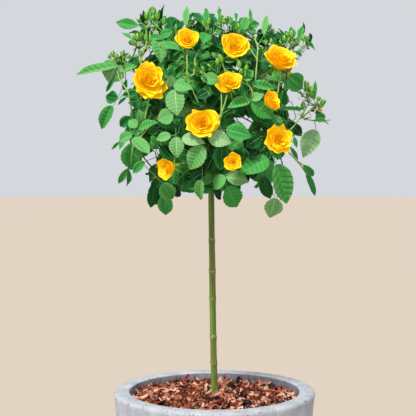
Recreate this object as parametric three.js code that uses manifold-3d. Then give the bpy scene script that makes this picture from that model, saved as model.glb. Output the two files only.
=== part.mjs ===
// A standard rose in a round concrete pot: a bare green stem with a full crown of leafy shoots,
// yellow double blooms and slim buds, grown on ten boughs from one bud union.
// Millimetres, +Z up. The origin is the centre of the pot's flat underside, and the side that
// is seen first faces -Y. Bearings go round the stem from that side towards +X, and a rise is
// above level, both in degrees.
import * as THREE from 'three';
import { mergeVertices } from 'three/addons/utils/BufferGeometryUtils.js';
import Module from 'manifold-3d';

const wasm = await Module();
wasm.setup();

// Pot, soil and mulch
const gap = 0.3;
const pot = {
  height: 310, rimRadius: 201, footRadius: 174, wall: 32, floor: 36, edge: 9, lip: 5, segments: 32,
};
const soil = { top: 272, play: 1, segments: 28 };
const mulch = { edge: 294, crest: 304, seat: 14, unevenness: 4.8, segments: 26, rings: 4 };

// Stem: x and z of its middle line from the mulch to the bud union, joints where old leaves sat
const stem = {
  line: [[0.4, 304.3], [-1.6, 372], [-3.6, 470], [-4.6, 565], [-6.6, 690], [-7, 745]],
  footRadius: 8.6, flare: 26, lowRadius: 6.7, highRadius: 5.9, joints: [365, 417, 497, 553, 613],
  jointSwell: 0.9, jointSpan: 7, unionRadius: 11.5, unionSpan: 15, sides: 8, steps: 18,
};
const bough = {
  sunk: 4, foot: 21, footRadius: 4.6, tipRadius: 3.1, share: 0.36, lift: 0.22, sides: 6, steps: 3, marks: 12,
};

// Crown: its middle, its half sizes, and how square its outline is
const crown = { middle: [-11, 0, 868], radius: 236, up: 196, down: 185, power: 3 };
const shoot = {
  stemRadius: 2.4, rootRadius: 0.8, radius: 1.7, tipRadius: 1.3, heart: 0.64, step: 36, spring: 0.34,
  detour: 1.5, mostSteps: 4,
};

// Leaves: lengths of the end leaflet low and high in the crown, the rest as shares of it
const leaf = {
  topLength: 27, lowLength: 47, least: 0.86, most: 1.2, lowest: 720, highest: 1040, breadth: 0.66,
  waist: 0.42, thickness: 1.3, fold: 0.12, hang: 0.14, stalk: 0.34, step: 0.42, nextToEnd: 0.9,
  shrink: 0.12, sunk: 0.4, splay: 60, rootRadius: 0.7, ribRadius: 1.2, margin: 0.8, apart: 9,
};
const sideLeaf = {
  spacing: 27, first: 0.7, every: 3, turn: 144, tries: 5, tryTurn: 72, enlarged: 1.15, fewest: 2,
  out: 0.8, away: 0.6, lowRise: -0.1, highRise: 0.3, lowHang: 0.8, faceAway: 0.8, faceUp: 0.6, reach: 1.08,
};
// Ways to settle the leaf at a shoot's end, tried in turn: pairs of leaflets beside it, how far
// its rib turns outwards, and how far it slides towards the middle of its mass
const endLeaf = {
  faceUp: 0.5, reach: 1.2,
  named: [[2, 0, 0], [2, 0.5, 0], [2, 1.2, 0], [1, 0.3, 0], [1, 1.2, 0], [1, 2.4, 0], [1, 1, 14]],
  spare: [[1, 0, 0], [1, 0.6, 0], [1, 1.6, 0], [1, 0.8, 14], [1, 1.6, 28]],
};
const bloomShape = {
  room: 0.56, sides: 8, profile: [[0, -0.36], [0.3, -0.2], [0.5, 0.04], [0.27, 0.2], [0, 0.22]],
};
const bud = {
  length: 15, breadth: 0.4, height: 1.1, stalk: 1.5, stalkRadius: 1.1, side: 0.85, splay: 37, room: 4,
};

// Shoots spread evenly over the crown between those whose places are given below
const spare = {
  count: 86, top: 0.97, bottom: -0.9, goldenAngle: 137.508, depth: 0.8, apart: 45, outwards: 0.6,
  leafHang: -0.35, flowerRise: 0.4, budsAbove: 940, bloomsBehind: 30, bloomRoom: 34, bloomSizes: [44, 64],
};

// The masses of foliage, with bearing and rise from the bud union to the middle of each
const masses = [
  ['top', 0, 86],
  ['upper_front', 5, 40], ['upper_right', 90, 46], ['upper_back', 180, 52], ['upper_left', -95, 48],
  ['lower_front', 0, -10], ['lower_right', 88, -6], ['lower_back_right', 152, 0],
  ['lower_back_left', -136, 0], ['lower_left', -66, 2],
];

// The blooms of the front: heart, breadth, and the bearing and rise that each faces
const frontBlooms = [
  [[-50, -204, 1001], 48, 0, 22], [[-121, -206, 929], 72, 14, 26], [[36, -210, 987], 57, 6, 12],
  [[118, -184, 966], 56, -34, 46], [[27, -226, 923], 44, 10, 62], [[103, -206, 890], 46, 58, 34],
  [[-24, -230, 851], 68, -2, 14], [[119, -194, 821], 56, 12, 8], [[33, -220, 777], 40, 0, 4],
  [[-87, -206, 762], 46, -62, -20],
];

// Groups of buds at the top, along the sides and in the front: middle bud, bearing and rise
const budGroups = [
  [[-126, -52, 1052], -40, 70], [[-187, -120, 968], -80, 24], [[-152, -112, 1012], -60, 50],
  [[-52, -78, 1052], -10, 84], [[-17, -46, 1056], 0, 80], [[12, -104, 1050], 12, 74],
  [[68, -66, 1046], 24, 78], [[102, -112, 1032], 40, 70], [[158, -76, 1008], 70, 46],
  [[182, -118, 914], 70, 38], [[208, -52, 884], 84, 30], [[47, -216, 943], 10, 60],
  [[4, -218, 962], -6, 66], [[-36, -216, 954], -14, 52], [[60, 60, 1052], 150, 74],
  [[-70, 84, 1046], -150, 70], [[-150, 40, 1030], -110, 56], [[140, 70, 1024], 120, 60],
];

// Leaves on the crown's outline or prominent in its front: middle and length of the end
// leaflet, and the bearing and rise of its tip
const namedLeaves = [
  [[-240, -28, 944], 66, -88, -2], [[-208, -88, 860], 46, -70, -52], [[-196, -96, 896], 40, -60, -20],
  [[-176, -40, 1036], 40, -84, 14], [[-172, -112, 818], 44, -60, -40], [[-142, -150, 800], 46, -40, -50],
  [[-160, -128, 776], 42, -50, -62], [[-182, -72, 742], 40, -76, -70], [[-122, -110, 706], 48, -50, -60],
  [[-96, -84, 694], 44, -40, -80], [[-30, -128, 708], 44, -10, -74], [[48, -116, 706], 48, 20, -76],
  [[10, -160, 734], 46, 0, -54], [[82, -176, 758], 52, 24, -40], [[133, -124, 728], 70, 40, -64],
  [[104, -74, 690], 48, 60, -78], [[205, -66, 858], 46, 74, -30], [[188, -108, 808], 56, 58, -62],
  [[190, -84, 746], 42, 70, -58], [[186, -40, 706], 44, 80, -66], [[180, -112, 930], 40, 58, 6],
  [[188, -52, 984], 40, 78, 12], [[-66, -196, 900], 52, -14, -58], [[-22, -222, 800], 46, -6, -66],
];

const finish = (color, roughness) => new THREE.MeshStandardMaterial({ color, roughness, metalness: 0 });
const concrete = finish(0xc3cace, 0.85);
const earth = finish(0x3b2a20, 0.95);
const bark = finish(0x8a6250, 0.85);
const greenStem = finish(0x737d3e, 0.6);
const greenLeaf = finish(0x53904f, 0.5);

// Vectors: points, ways and mixtures of them
const vector = (x, y, z) => new THREE.Vector3(x, y, z);
const up = vector(0, 0, 1);
const steadySide = vector(0.3, 1, 0.2);
const along = (point, way, distance) => point.clone().addScaledVector(way, distance);
const radians = THREE.MathUtils.degToRad;
const mix = THREE.MathUtils.lerp;
const clamp = THREE.MathUtils.clamp;

function blend(...pairs) {
  const sum = vector(0, 0, 0);
  pairs.forEach(([way, share]) => sum.addScaledVector(way, share));
  return sum.normalize();
}

function heading(bearing, rise) {
  const [turn, climb] = [radians(bearing), radians(rise)];
  return vector(Math.cos(climb) * Math.sin(turn), -Math.cos(climb) * Math.cos(turn), Math.sin(climb));
}

// Two ways square to a given one and to each other
function crossWays(way) {
  const side = blend([way.clone().cross(steadySide), 1]);
  return [side, way.clone().cross(side)];
}

// A fixed share from 0 to 1 for each set of whole numbers
function chance(...keys) {
  const sum = keys.reduce((total, key) => (total * 31.7 + key * 12.9898 + 4.1) % 1000, 0.5);
  const wave = Math.sin(sum) * 43758.5453;
  return wave - Math.floor(wave);
}

// Solids: from a closed geometry, joined into one body without loose scraps, and as a named mesh
function solidOf(geometry) {
  geometry.deleteAttribute('normal');
  geometry.deleteAttribute('uv');
  const merged = mergeVertices(geometry, 1e-4);
  const mesh = new wasm.Mesh({
    numProp: 3,
    vertProperties: new Float32Array(merged.attributes.position.array),
    triVerts: new Uint32Array(merged.index.array),
  });
  return new wasm.Manifold(mesh);
}

function fuse(solids) {
  const bodies = solids.reduce((sum, solid) => sum.add(solid)).decompose();
  return bodies.reduce((best, body) => (body.volume() > best.volume() ? body : best));
}

function meshOf(name, solid, material) {
  const { vertProperties, triVerts } = solid.getMesh();
  const geometry = new THREE.BufferGeometry();
  geometry.setAttribute('position', new THREE.BufferAttribute(vertProperties, 3));
  geometry.setIndex(new THREE.BufferAttribute(triVerts, 1));
  geometry.computeVertexNormals();
  const mesh = new THREE.Mesh(geometry, material);
  mesh.name = name;
  return mesh;
}

// The rings of a limb along a curve: the place, the way and the radius of each
function ringsAlong(curve, steps, radiusAt) {
  return Array.from({ length: steps + 1 }, (_, i) => (
    { at: curve.getPoint(i / steps), way: curve.getTangent(i / steps), radius: radiusAt(i / steps) }));
}

// A round limb: a straight prism whose rings are moved to their places
function limb(rings, sides) {
  const section = new THREE.Shape();
  for (let i = 0; i < sides; i += 1) {
    const angle = (i / sides) * 2 * Math.PI;
    section[i ? 'lineTo' : 'moveTo'](Math.cos(angle), Math.sin(angle));
  }
  const steps = rings.length - 1;
  const geometry = new THREE.ExtrudeGeometry(section, { depth: steps, steps, bevelEnabled: false });
  const place = geometry.attributes.position;
  const steep = Math.abs(rings[0].way.z) > 0.8;
  const reference = steep ? vector(1, 0, 0) : up;
  for (let i = 0; i < place.count; i += 1) {
    const { at, way, radius } = rings[Math.round(place.getZ(i))];
    const side = blend([reference.clone().cross(way), 1]);
    const other = way.clone().cross(side);
    const moved = along(along(at, side, place.getX(i) * radius), other, place.getY(i) * radius);
    place.setXYZ(i, moved.x, moved.y, moved.z);
  }
  return solidOf(geometry);
}

function rod(from, to, way, radii) {
  return limb([{ at: from, way, radius: radii[0] }, { at: to, way, radius: radii[1] }], 3);
}

function turned(profile, segments) {
  const points = profile.map(([radius, height]) => new THREE.Vector2(radius, height));
  return new THREE.LatheGeometry(points, segments).rotateX(Math.PI / 2);
}

function arc([centreRadius, centreHeight], radius, from, to, steps) {
  return Array.from({ length: steps + 1 }, (_, i) => {
    const angle = radians(mix(from, to, i / steps));
    return [centreRadius + radius * Math.cos(angle), centreHeight + radius * Math.sin(angle)];
  });
}

// The pot: a tapered wall with rounded edges, open above, on a flat underside
function boreRadius(height) {
  const taper = (pot.rimRadius - pot.footRadius) / pot.height;
  return pot.rimRadius - pot.wall - taper * (pot.height - height);
}

function makePot() {
  const { height, rimRadius, footRadius, wall, floor, edge, lip, segments } = pot;
  const profile = [
    [0, 0],
    ...arc([footRadius - edge, edge], edge, -90, 0, 2),
    ...arc([rimRadius - edge, height - edge], edge, 0, 90, 3),
    ...arc([rimRadius - wall + lip, height - lip], lip, 90, 180, 2),
    [boreRadius(floor), floor],
    [0, floor],
  ];
  return solidOf(turned(profile, segments));
}

function makeSoil() {
  const bottom = pot.floor + gap;
  const [low, high] = [boreRadius(bottom) - soil.play, boreRadius(soil.top) - soil.play];
  return solidOf(turned([[0, bottom], [low, bottom], [high, soil.top], [0, soil.top]], soil.segments));
}

// The bark mulch: a low uneven dome from wall to wall, level where the stem stands
function makeMulch() {
  const bottom = soil.top + gap;
  const edge = boreRadius(bottom) - soil.play;
  const profile = [[0, bottom], [edge, bottom], [edge, mulch.edge]];
  for (let i = 1; i <= mulch.rings; i += 1) {
    const share = i / mulch.rings;
    const height = mix(mulch.edge, mulch.crest, Math.sin((share * Math.PI) / 2));
    profile.push([mix(edge, mulch.seat, share), height]);
  }
  profile.push([0, mulch.crest]);
  const geometry = turned(profile, mulch.segments);
  const place = geometry.attributes.position;
  for (let i = 0; i < place.count; i += 1) {
    const [x, y, z] = [place.getX(i), place.getY(i), place.getZ(i)];
    const onSeat = Math.hypot(x, y) < mulch.seat + gap;
    if (!onSeat && z > bottom + gap) {
      place.setZ(i, z + (chance(Math.round(x), Math.round(y)) - 0.6) * mulch.unevenness);
    }
  }
  return solidOf(geometry);
}

// The stem: flared foot, slow taper, swollen joints, and the bud union with a stub for each bough
const [unionX, unionZ] = stem.line.at(-1);
const union = vector(unionX, 0, unionZ);
const stemFoot = stem.line[0][1];
const stemCurve = new THREE.CatmullRomCurve3(stem.line.map(([x, z]) => vector(x, 0, z)));
const ways = masses.map(([, bearing, rise]) => heading(bearing, rise));

function stemRadius(height) {
  const flare = Math.max(0, 1 - (height - stemFoot) / stem.flare) ** 2;
  const nearest = Math.min(...stem.joints.map((joint) => Math.abs(height - joint)));
  const swell = stem.jointSwell * Math.max(0, 1 - nearest / stem.jointSpan);
  const knob = Math.max(0, 1 - ((height - union.z) / stem.unionSpan) ** 2);
  const taper = mix(stem.lowRadius, stem.highRadius, (height - stemFoot) / (union.z - stemFoot));
  const plain = taper + (stem.footRadius - stem.lowRadius) * flare + swell;
  return Math.max(plain, stem.unionRadius * Math.sqrt(knob));
}

function makeStem() {
  const rings = ringsAlong(stemCurve, stem.steps, (share) => stemRadius(stemCurve.getPoint(share).z));
  rings[0].way = up;
  const knob = solidOf(new THREE.IcosahedronGeometry(stem.unionRadius, 1).translate(union.x, union.y, union.z));
  const stubs = ways.map((way) => {
    const ends = [bough.sunk, bough.foot - gap].map((distance) => along(union, way, distance));
    return limb(ends.map((at) => ({ at, way, radius: bough.footRadius })), bough.sides);
  });
  return fuse([limb(rings, stem.sides), knob, ...stubs]);
}

// The crown's outline: 1 on it, less inside
const crownMiddle = vector(...crown.middle);

function outlineShare(point) {
  const { x, y, z } = point.clone().sub(crownMiddle);
  const across = Math.hypot(x, y) / crown.radius;
  const rise = Math.abs(z) / (z > 0 ? crown.up : crown.down);
  return (across ** crown.power + rise ** crown.power) ** (1 / crown.power);
}

function reachFromUnion(way) {
  const step = 2;
  let reach = bough.foot;
  while (outlineShare(along(union, way, reach)) < 1) reach += step;
  return reach;
}

function outward(point) {
  return blend([point.clone().sub(crownMiddle), 1]);
}

function heightShare(point) {
  return clamp((point.z - leaf.lowest) / (leaf.highest - leaf.lowest), 0, 1);
}

// The space of a mass: all that lies nearer to its way from the union than to any other way
function roomInSpace(point, index) {
  const offset = point.clone().sub(union);
  const rooms = ways.map((way, other) => {
    if (other === index) return Infinity;
    return offset.dot(blend([ways[index], 1], [way, -1]));
  });
  return Math.min(...rooms);
}

function massOf(...points) {
  const rooms = masses.map((_, index) => Math.min(...points.map((point) => roomInSpace(point, index))));
  const room = Math.max(...rooms);
  return { room, index: rooms.indexOf(room) };
}

// A bough: from its stub on the union, rising a little, to where its mass begins
function boughCurveOf(way) {
  const foot = along(union, way, bough.foot);
  const length = reachFromUnion(way) * bough.share - bough.foot;
  const endWay = blend([way, 1], [up, bough.lift]);
  const tip = along(along(foot, way, length / 2), endWay, length / 2);
  return new THREE.CubicBezierCurve3(foot, along(foot, way, length / 3), along(tip, endWay, -length / 3), tip);
}

function limbClearance(point, boughPoints) {
  const share = clamp((point.z - stemFoot) / (union.z - stemFoot), 0, 1);
  const toStem = point.distanceTo(stemCurve.getPoint(share)) - stem.unionRadius;
  const toBough = Math.min(...boughPoints.map((place) => place.distanceTo(point))) - bough.footRadius;
  return Math.min(toStem, toBough);
}

// One leaflet: a thin blade of six faces, folded up along its middle and arched along its length
function leafletPlan(foot, way, face, length) {
  const side = blend([way.clone().cross(face), 1]);
  const normal = side.clone().cross(way);
  const root = along(foot, way, -leaf.sunk);
  const middle = along(along(root, way, length * leaf.waist), normal, leaf.thickness);
  const edge = along(middle, normal, length * leaf.fold);
  const half = (length * leaf.breadth) / 2;
  const [left, right] = [-half, half].map((distance) => along(edge, side, distance));
  return { root, middle, length, left, right, tip: along(root, way, length) };
}

function leafletSolid({ root, tip, left, right, middle }) {
  const corners = [root, tip, left, right, middle].flatMap((corner) => corner.toArray());
  const faces = [0, 4, 2, 2, 4, 1, 1, 4, 3, 3, 4, 0, 0, 2, 1, 0, 1, 3];
  const geometry = new THREE.BufferGeometry();
  geometry.setAttribute('position', new THREE.Float32BufferAttribute(corners, 3));
  geometry.setIndex(faces);
  return solidOf(geometry);
}

// A rose leaf: a rib with pairs of leaflets and one at its end
function ribLength(length, pairs) {
  return length * (leaf.stalk + (pairs - 0.5) * leaf.step);
}

function leafPlan(base, ribWay, tipWay, face, length, pairs) {
  const side = blend([ribWay.clone().cross(face), 1]);
  const forward = blend([ribWay, 1], [tipWay, 1]);
  const leaflets = [];
  for (let pair = 0; pair < pairs; pair += 1) {
    const foot = along(base, ribWay, length * (leaf.stalk + pair * leaf.step));
    const size = length * (leaf.nextToEnd - leaf.shrink * (pairs - 1 - pair));
    [-1, 1].forEach((hand) => {
      const splay = radians(leaf.splay);
      const out = blend([forward, Math.cos(splay)], [side, hand * Math.sin(splay)], [face, -leaf.hang]);
      leaflets.push(leafletPlan(foot, out, face, size));
    });
  }
  const end = along(base, ribWay, ribLength(length, pairs));
  leaflets.push(leafletPlan(end, tipWay, face, length));
  return { base, end, ribWay, leaflets };
}

function leafLength(point, share) {
  return mix(leaf.lowLength, leaf.topLength, heightShare(point)) * mix(leaf.least, leaf.most, share);
}

// Whether the straight line between two points passes through a triangle
function lineCrosses(from, to, corners) {
  const [first, second, third] = corners;
  const normal = second.clone().sub(first).cross(third.clone().sub(first));
  const before = normal.dot(from.clone().sub(first));
  const after = normal.dot(to.clone().sub(first));
  if (before * after >= 0) return false;
  const meeting = from.clone().lerp(to, before / (before - after));
  return corners.every((corner, i) => {
    const edge = corners[(i + 1) % 3].clone().sub(corner);
    return edge.cross(meeting.clone().sub(corner)).dot(normal) >= 0;
  });
}

function lineCrossesLeaflet(from, to, { root, tip, left, right }) {
  return lineCrosses(from, to, [root, tip, left]) || lineCrosses(from, to, [root, tip, right]);
}

function edgesCross({ root, tip, left, right }, other) {
  const edges = [[root, left], [left, tip], [tip, right], [right, root], [root, tip]];
  return edges.some(([from, to]) => lineCrossesLeaflet(from, to, other));
}

// A leaflet fits where it keeps to its mass's space, clear of limbs, blooms, twigs and leaflets
function leafletFits(leaflet, space, reach) {
  const corners = [leaflet.tip, leaflet.left, leaflet.right, leaflet.middle];
  const clear = corners.every((corner) => roomInSpace(corner, space.index) > leaf.margin
    && limbClearance(corner, space.boughPoints) > leaf.margin
    && outlineShare(corner) < reach
    && space.blooms.every(({ at, size }) => corner.distanceTo(at) > size * bloomShape.room));
  if (!clear || space.twigs.some(([from, to]) => lineCrossesLeaflet(from, to, leaflet))) return false;
  return !space.leaflets.some((old) => {
    const distance = old.middle.distanceTo(leaflet.middle);
    if (distance < leaf.apart) return true;
    return distance < old.length + leaflet.length && (edgesCross(leaflet, old) || edgesCross(old, leaflet));
  });
}

function ribFits({ base, end }, space) {
  return roomInSpace(base, space.index) > leaf.ribRadius + leaf.margin
    && roomInSpace(end, space.index) > leaf.ribRadius
    && !space.leaflets.some((old) => lineCrossesLeaflet(base, end, old));
}

// Adds the leaflets of a leaf that fit, if enough of them do
function addLeaflets(space, plan, reach, fewest) {
  const kept = plan.leaflets.filter((leaflet) => leafletFits(leaflet, space, reach));
  if (!kept.includes(plan.leaflets.at(-1)) || kept.length < fewest) return false;
  space.leaflets.push(...kept);
  space.solids.push(...kept.map(leafletSolid));
  return true;
}

// Turns, shortens and slides the leaf at a shoot's end until one mass's space holds it
function settleEndLeaf(tip) {
  const face = blend([outward(tip.at), 1], [up, endLeaf.faceUp]);
  const spine = ways[massOf(tip.at).index];
  const inMiddle = along(union, spine, tip.at.clone().sub(union).dot(spine));
  for (const [pairs, turn, slide] of tip.tries) {
    const at = along(tip.at, blend([inMiddle.clone().sub(tip.at), 1]), slide);
    const away = blend([at.clone().sub(union), 1]);
    const ribWay = blend([tip.way, 1], [away, turn]);
    const end = along(at, tip.way, -tip.size / 2);
    const base = along(end, ribWay, -ribLength(tip.size, pairs));
    const plan = leafPlan(base, ribWay, tip.way, face, tip.size, pairs);
    const last = plan.leaflets.at(-1);
    const { room, index } = massOf(base, last.tip, last.left, last.right);
    if (room > leaf.ribRadius + leaf.margin) return { ...tip, plan, mass: index };
  }
  return null;
}

// Every shoot of the crown ends in a bloom, a group of buds or a leaf
function spareTip(i) {
  const rise = mix(spare.top, spare.bottom, (i + 0.5) / spare.count);
  const way = heading(i * spare.goldenAngle, THREE.MathUtils.radToDeg(Math.asin(rise)));
  const at = along(crownMiddle, way, spare.depth / outlineShare(along(crownMiddle, way, 1)));
  let kind = 'leaf';
  if (at.z > spare.budsAbove && i % 2 === 0) kind = 'buds';
  if (at.y > spare.bloomsBehind && i % 3 === 0 && massOf(at).room > spare.bloomRoom) kind = 'bloom';
  const size = {
    leaf: leafLength(at, chance(i, 2)), buds: bud.length, bloom: mix(...spare.bloomSizes, chance(i, 1)),
  }[kind];
  const away = blend([at.clone().sub(union), 1]);
  const climb = kind === 'leaf' ? spare.leafHang : spare.flowerRise;
  const facing = blend([way, spare.outwards], [away, spare.outwards], [up, climb]);
  return { kind, at, size, way: facing, sideBuds: 1, tries: endLeaf.spare };
}

function crownTips() {
  const tips = [
    ...frontBlooms.map(([at, size, ...facing]) => ({ kind: 'bloom', at, size, facing })),
    ...budGroups.map(([at, ...facing]) => ({ kind: 'buds', at, size: bud.length, facing, sideBuds: 2 })),
    ...namedLeaves.map(([at, size, ...facing]) => ({ kind: 'leaf', at, size, facing, tries: endLeaf.named })),
  ].map((tip) => ({ ...tip, at: vector(...tip.at), way: heading(...tip.facing) }));
  for (let i = 0; i < spare.count; i += 1) {
    const tip = spareTip(i);
    if (tips.every((other) => other.at.distanceTo(tip.at) > spare.apart)) tips.push(tip);
  }
  return tips
    .map((tip) => (tip.kind === 'leaf' ? settleEndLeaf(tip) : { ...tip, mass: massOf(tip.at).index }))
    .filter(Boolean);
}

// Flowers: a full cup for a bloom, and slim buds on stalks
function pointed(geometry, way, at) {
  const turn = new THREE.Quaternion().setFromUnitVectors(up, way);
  return solidOf(geometry.applyQuaternion(turn).translate(at.x, at.y, at.z));
}

function bloomSolid({ at, size, way }) {
  const profile = bloomShape.profile.map(([radius, height]) => [radius * size, height * size]);
  return pointed(turned(profile, bloomShape.sides), way, at);
}

function budSolid(at, way, length) {
  const [across, tall] = [(bud.breadth * length) / 2, (bud.height * length) / 2];
  return pointed(new THREE.OctahedronGeometry(1, 0).scale(across, across, tall), way, at);
}

function budSolids({ at, size, way, sideBuds }, key, space) {
  const [side, other] = crossWays(way);
  const foot = along(at, way, -size * bud.stalk);
  const splay = radians(bud.splay);
  const solids = [budSolid(at, way, size)];
  for (let hand = 0; hand < sideBuds; hand += 1) {
    const angle = (hand + chance(key, hand) / 2) * Math.PI;
    const sideways = blend([side, Math.cos(angle)], [other, Math.sin(angle)]);
    const out = blend([way, Math.cos(splay)], [sideways, Math.sin(splay)]);
    const place = along(foot, out, size * bud.stalk);
    if (roomInSpace(place, space.index) > size / 2 + bud.room) {
      solids.push(rod(foot, place, out, [leaf.rootRadius, bud.stalkRadius]));
      solids.push(budSolid(place, out, size * bud.side));
      space.twigs.push([foot, place]);
    }
  }
  return solids;
}

// Adds a stretch of wood to a space, with places along it that later shoots may leave from
function addWood(space, rings, sides) {
  if (rings.some(({ at, radius }) => roomInSpace(at, space.index) < radius)) return false;
  space.solids.push(limb(rings, sides));
  rings.slice(1).forEach(({ at }, i) => {
    const from = rings[i].at;
    const way = blend([at.clone().sub(from), 1]);
    space.twigs.push([from, at]);
    space.wood.push({ at: from.clone().lerp(at, 0.5), way });
    if (i < rings.length - 2) space.wood.push({ at, way });
  });
  return true;
}

// Where a shoot leaves the wood: near its tip, and in line with the wood that carries it
function bestStart(wood, end) {
  const cost = ({ at, way }) => {
    const offset = end.clone().sub(at);
    return offset.length() * (shoot.detour - blend([offset, 1]).dot(way));
  };
  return wood.reduce((best, place) => (cost(place) < cost(best) ? place : best));
}

// A shoot from the wood to a flower, or to a leaf whose rib it goes on into
function addShoot(space, tip, key) {
  const end = tip.plan ? tip.plan.base : tip.at;
  const endWay = tip.plan ? tip.plan.ribWay : tip.way;
  const start = bestStart(space.wood, end);
  const length = start.at.distanceTo(end);
  const curve = new THREE.CubicBezierCurve3(
    start.at, along(start.at, start.way, length * shoot.spring),
    along(end, endWay, -length * shoot.spring), end);
  const steps = clamp(Math.ceil(length / shoot.step), 1, shoot.mostSteps);
  const rings = ringsAlong(curve, steps, (share) => mix(shoot.radius, shoot.tipRadius, share));
  rings[0].radius = shoot.rootRadius;
  const points = rings.map(({ at }) => at);
  if (tip.plan) rings.push({ at: tip.plan.end, way: endWay, radius: leaf.ribRadius });
  if (!addWood(space, rings, 3)) return false;
  space.shoots.push({ points, length, key });
  return true;
}

// The leaves that stand round a shoot, each turned on until it fits
function addSideLeaves(space, { points, length, key }) {
  for (let i = 0; sideLeaf.spacing * (i + sideLeaf.first) < length; i += sideLeaf.every) {
    const place = (1 - (sideLeaf.spacing * (i + sideLeaf.first)) / length) * (points.length - 1);
    const [from, to] = points.slice(Math.floor(place), Math.floor(place) + 2);
    const base = from.clone().lerp(to, place - Math.floor(place));
    const [side, other] = crossWays(blend([to.clone().sub(from), 1]));
    const away = outward(base);
    const face = blend([away, sideLeaf.faceAway], [up, sideLeaf.faceUp]);
    const rise = heightShare(base);
    const size = sideLeaf.enlarged * leafLength(base, chance(space.index, key, i));
    for (let attempt = 0; attempt < sideLeaf.tries; attempt += 1) {
      const angle = radians(sideLeaf.turn * i + 360 * chance(space.index, key) + sideLeaf.tryTurn * attempt);
      const out = blend([side, Math.cos(angle)], [other, Math.sin(angle)]);
      const climb = mix(sideLeaf.lowRise, sideLeaf.highRise, rise);
      const ribWay = blend([out, sideLeaf.out], [away, sideLeaf.away], [up, climb]);
      const tipWay = blend([ribWay, 1], [up, sideLeaf.lowHang * (rise - 1)]);
      const plan = leafPlan(base, ribWay, tipWay, face, size, 1);
      if (ribFits(plan, space) && addLeaflets(space, plan, sideLeaf.reach, sideLeaf.fewest)) {
        space.solids.push(rod(plan.base, plan.end, ribWay, [leaf.rootRadius, leaf.ribRadius]));
        space.twigs.push([plan.base, plan.end]);
        break;
      }
    }
  }
}

// A mass: a stem goes on from the bough, each shoot leaves the wood that lies best for its tip,
// and leaves stand round the shoots in steps, turned a fixed angle each time
function growMass(index, boughCurve, tips) {
  const heart = along(union, ways[index], reachFromUnion(ways[index]) * shoot.heart);
  const startWay = boughCurve.getTangent(1);
  const foot = along(boughCurve.getPoint(1), startWay, gap);
  const third = foot.distanceTo(heart) / 3;
  const stemLine = new THREE.CubicBezierCurve3(
    foot, along(foot, startWay, third), along(heart, ways[index], -third), heart);
  const space = {
    index, boughPoints: boughCurve.getPoints(bough.marks), blooms: tips.filter(({ kind }) => kind === 'bloom'),
    wood: [], twigs: [], leaflets: [], solids: [], shoots: [],
  };
  addWood(space, ringsAlong(stemLine, 2, (share) => mix(bough.tipRadius, shoot.stemRadius, share)), 5);
  const grown = tips
    .filter(({ mass }) => mass === index)
    .sort((one, two) => one.at.distanceTo(heart) - two.at.distanceTo(heart))
    .filter((tip, key) => addShoot(space, tip, key));
  grown.forEach((tip, key) => {
    if (tip.kind === 'bloom') space.solids.push(bloomSolid(tip));
    if (tip.kind === 'buds') space.solids.push(...budSolids(tip, key, space));
  });
  grown.filter(({ kind }) => kind === 'leaf').forEach(({ plan }) => addLeaflets(space, plan, endLeaf.reach, 1));
  space.shoots.forEach((grownShoot) => addSideLeaves(space, grownShoot));
  return fuse(space.solids);
}

const plant = new THREE.Group();
plant.name = 'standard_rose_in_pot';
plant.add(meshOf('pot', makePot(), concrete));
plant.add(meshOf('soil', makeSoil(), earth));
plant.add(meshOf('bark_mulch', makeMulch(), bark));
plant.add(meshOf('stem', makeStem(), greenStem));
const tips = crownTips();
masses.forEach(([name], index) => {
  const curve = boughCurveOf(ways[index]);
  const rings = ringsAlong(curve, bough.steps, (share) => mix(bough.footRadius, bough.tipRadius, share));
  plant.add(meshOf(`bough_${name}`, limb(rings, bough.sides), greenStem));
  plant.add(meshOf(`foliage_${name}`, growMass(index, curve, tips), greenLeaf));
});

export default plant;
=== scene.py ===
# A standard rose in a concrete pot: bark, twigs, leaves, blooms, buds and mulch at full detail.
# Lengths are millimetres in the part's own frame, and become metres in each mesh. Angles are degrees.
# The last whole numbers in each call of chance only tell its draws apart.
import math
import bpy
import numpy as np
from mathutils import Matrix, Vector, noise


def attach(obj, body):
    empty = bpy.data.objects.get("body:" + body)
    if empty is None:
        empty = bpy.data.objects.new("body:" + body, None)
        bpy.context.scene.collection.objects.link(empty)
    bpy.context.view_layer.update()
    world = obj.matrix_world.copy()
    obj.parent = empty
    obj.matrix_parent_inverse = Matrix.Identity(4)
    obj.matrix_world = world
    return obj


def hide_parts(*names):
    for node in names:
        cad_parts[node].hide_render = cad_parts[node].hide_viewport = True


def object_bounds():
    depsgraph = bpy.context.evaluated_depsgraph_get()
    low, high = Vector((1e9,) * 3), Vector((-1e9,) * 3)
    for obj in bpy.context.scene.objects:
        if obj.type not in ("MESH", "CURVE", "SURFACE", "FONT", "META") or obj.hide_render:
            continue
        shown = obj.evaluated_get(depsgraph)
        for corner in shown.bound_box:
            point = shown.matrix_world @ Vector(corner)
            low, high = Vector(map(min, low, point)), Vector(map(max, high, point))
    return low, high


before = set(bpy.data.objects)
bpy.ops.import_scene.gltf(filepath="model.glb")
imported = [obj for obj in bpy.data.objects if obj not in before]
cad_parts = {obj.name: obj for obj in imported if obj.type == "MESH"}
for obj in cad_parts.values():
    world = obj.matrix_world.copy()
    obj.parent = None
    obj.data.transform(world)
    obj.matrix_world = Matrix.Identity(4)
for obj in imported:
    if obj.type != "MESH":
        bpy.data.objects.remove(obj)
cad_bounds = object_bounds()

MILLIMETRE = 0.001
# How far apart two solids stand, where the finer growth starts too
GAP = 0.3

# The pot, its mulch, the stem and the boughs
POT = dict(height=310, rim=203.5, foot=176, wall=32, edge=7, lip=4, sides=160, inside_from=200,
           inside_margin=1, below_rim=2, rim_band=6, side=(0.08, 0.96, 16), uneven=0.5,
           uneven_height=0.35, firm_above=20, cast_scales=(6, 0.02), finer=0.6, finer_scale=4)
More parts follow.
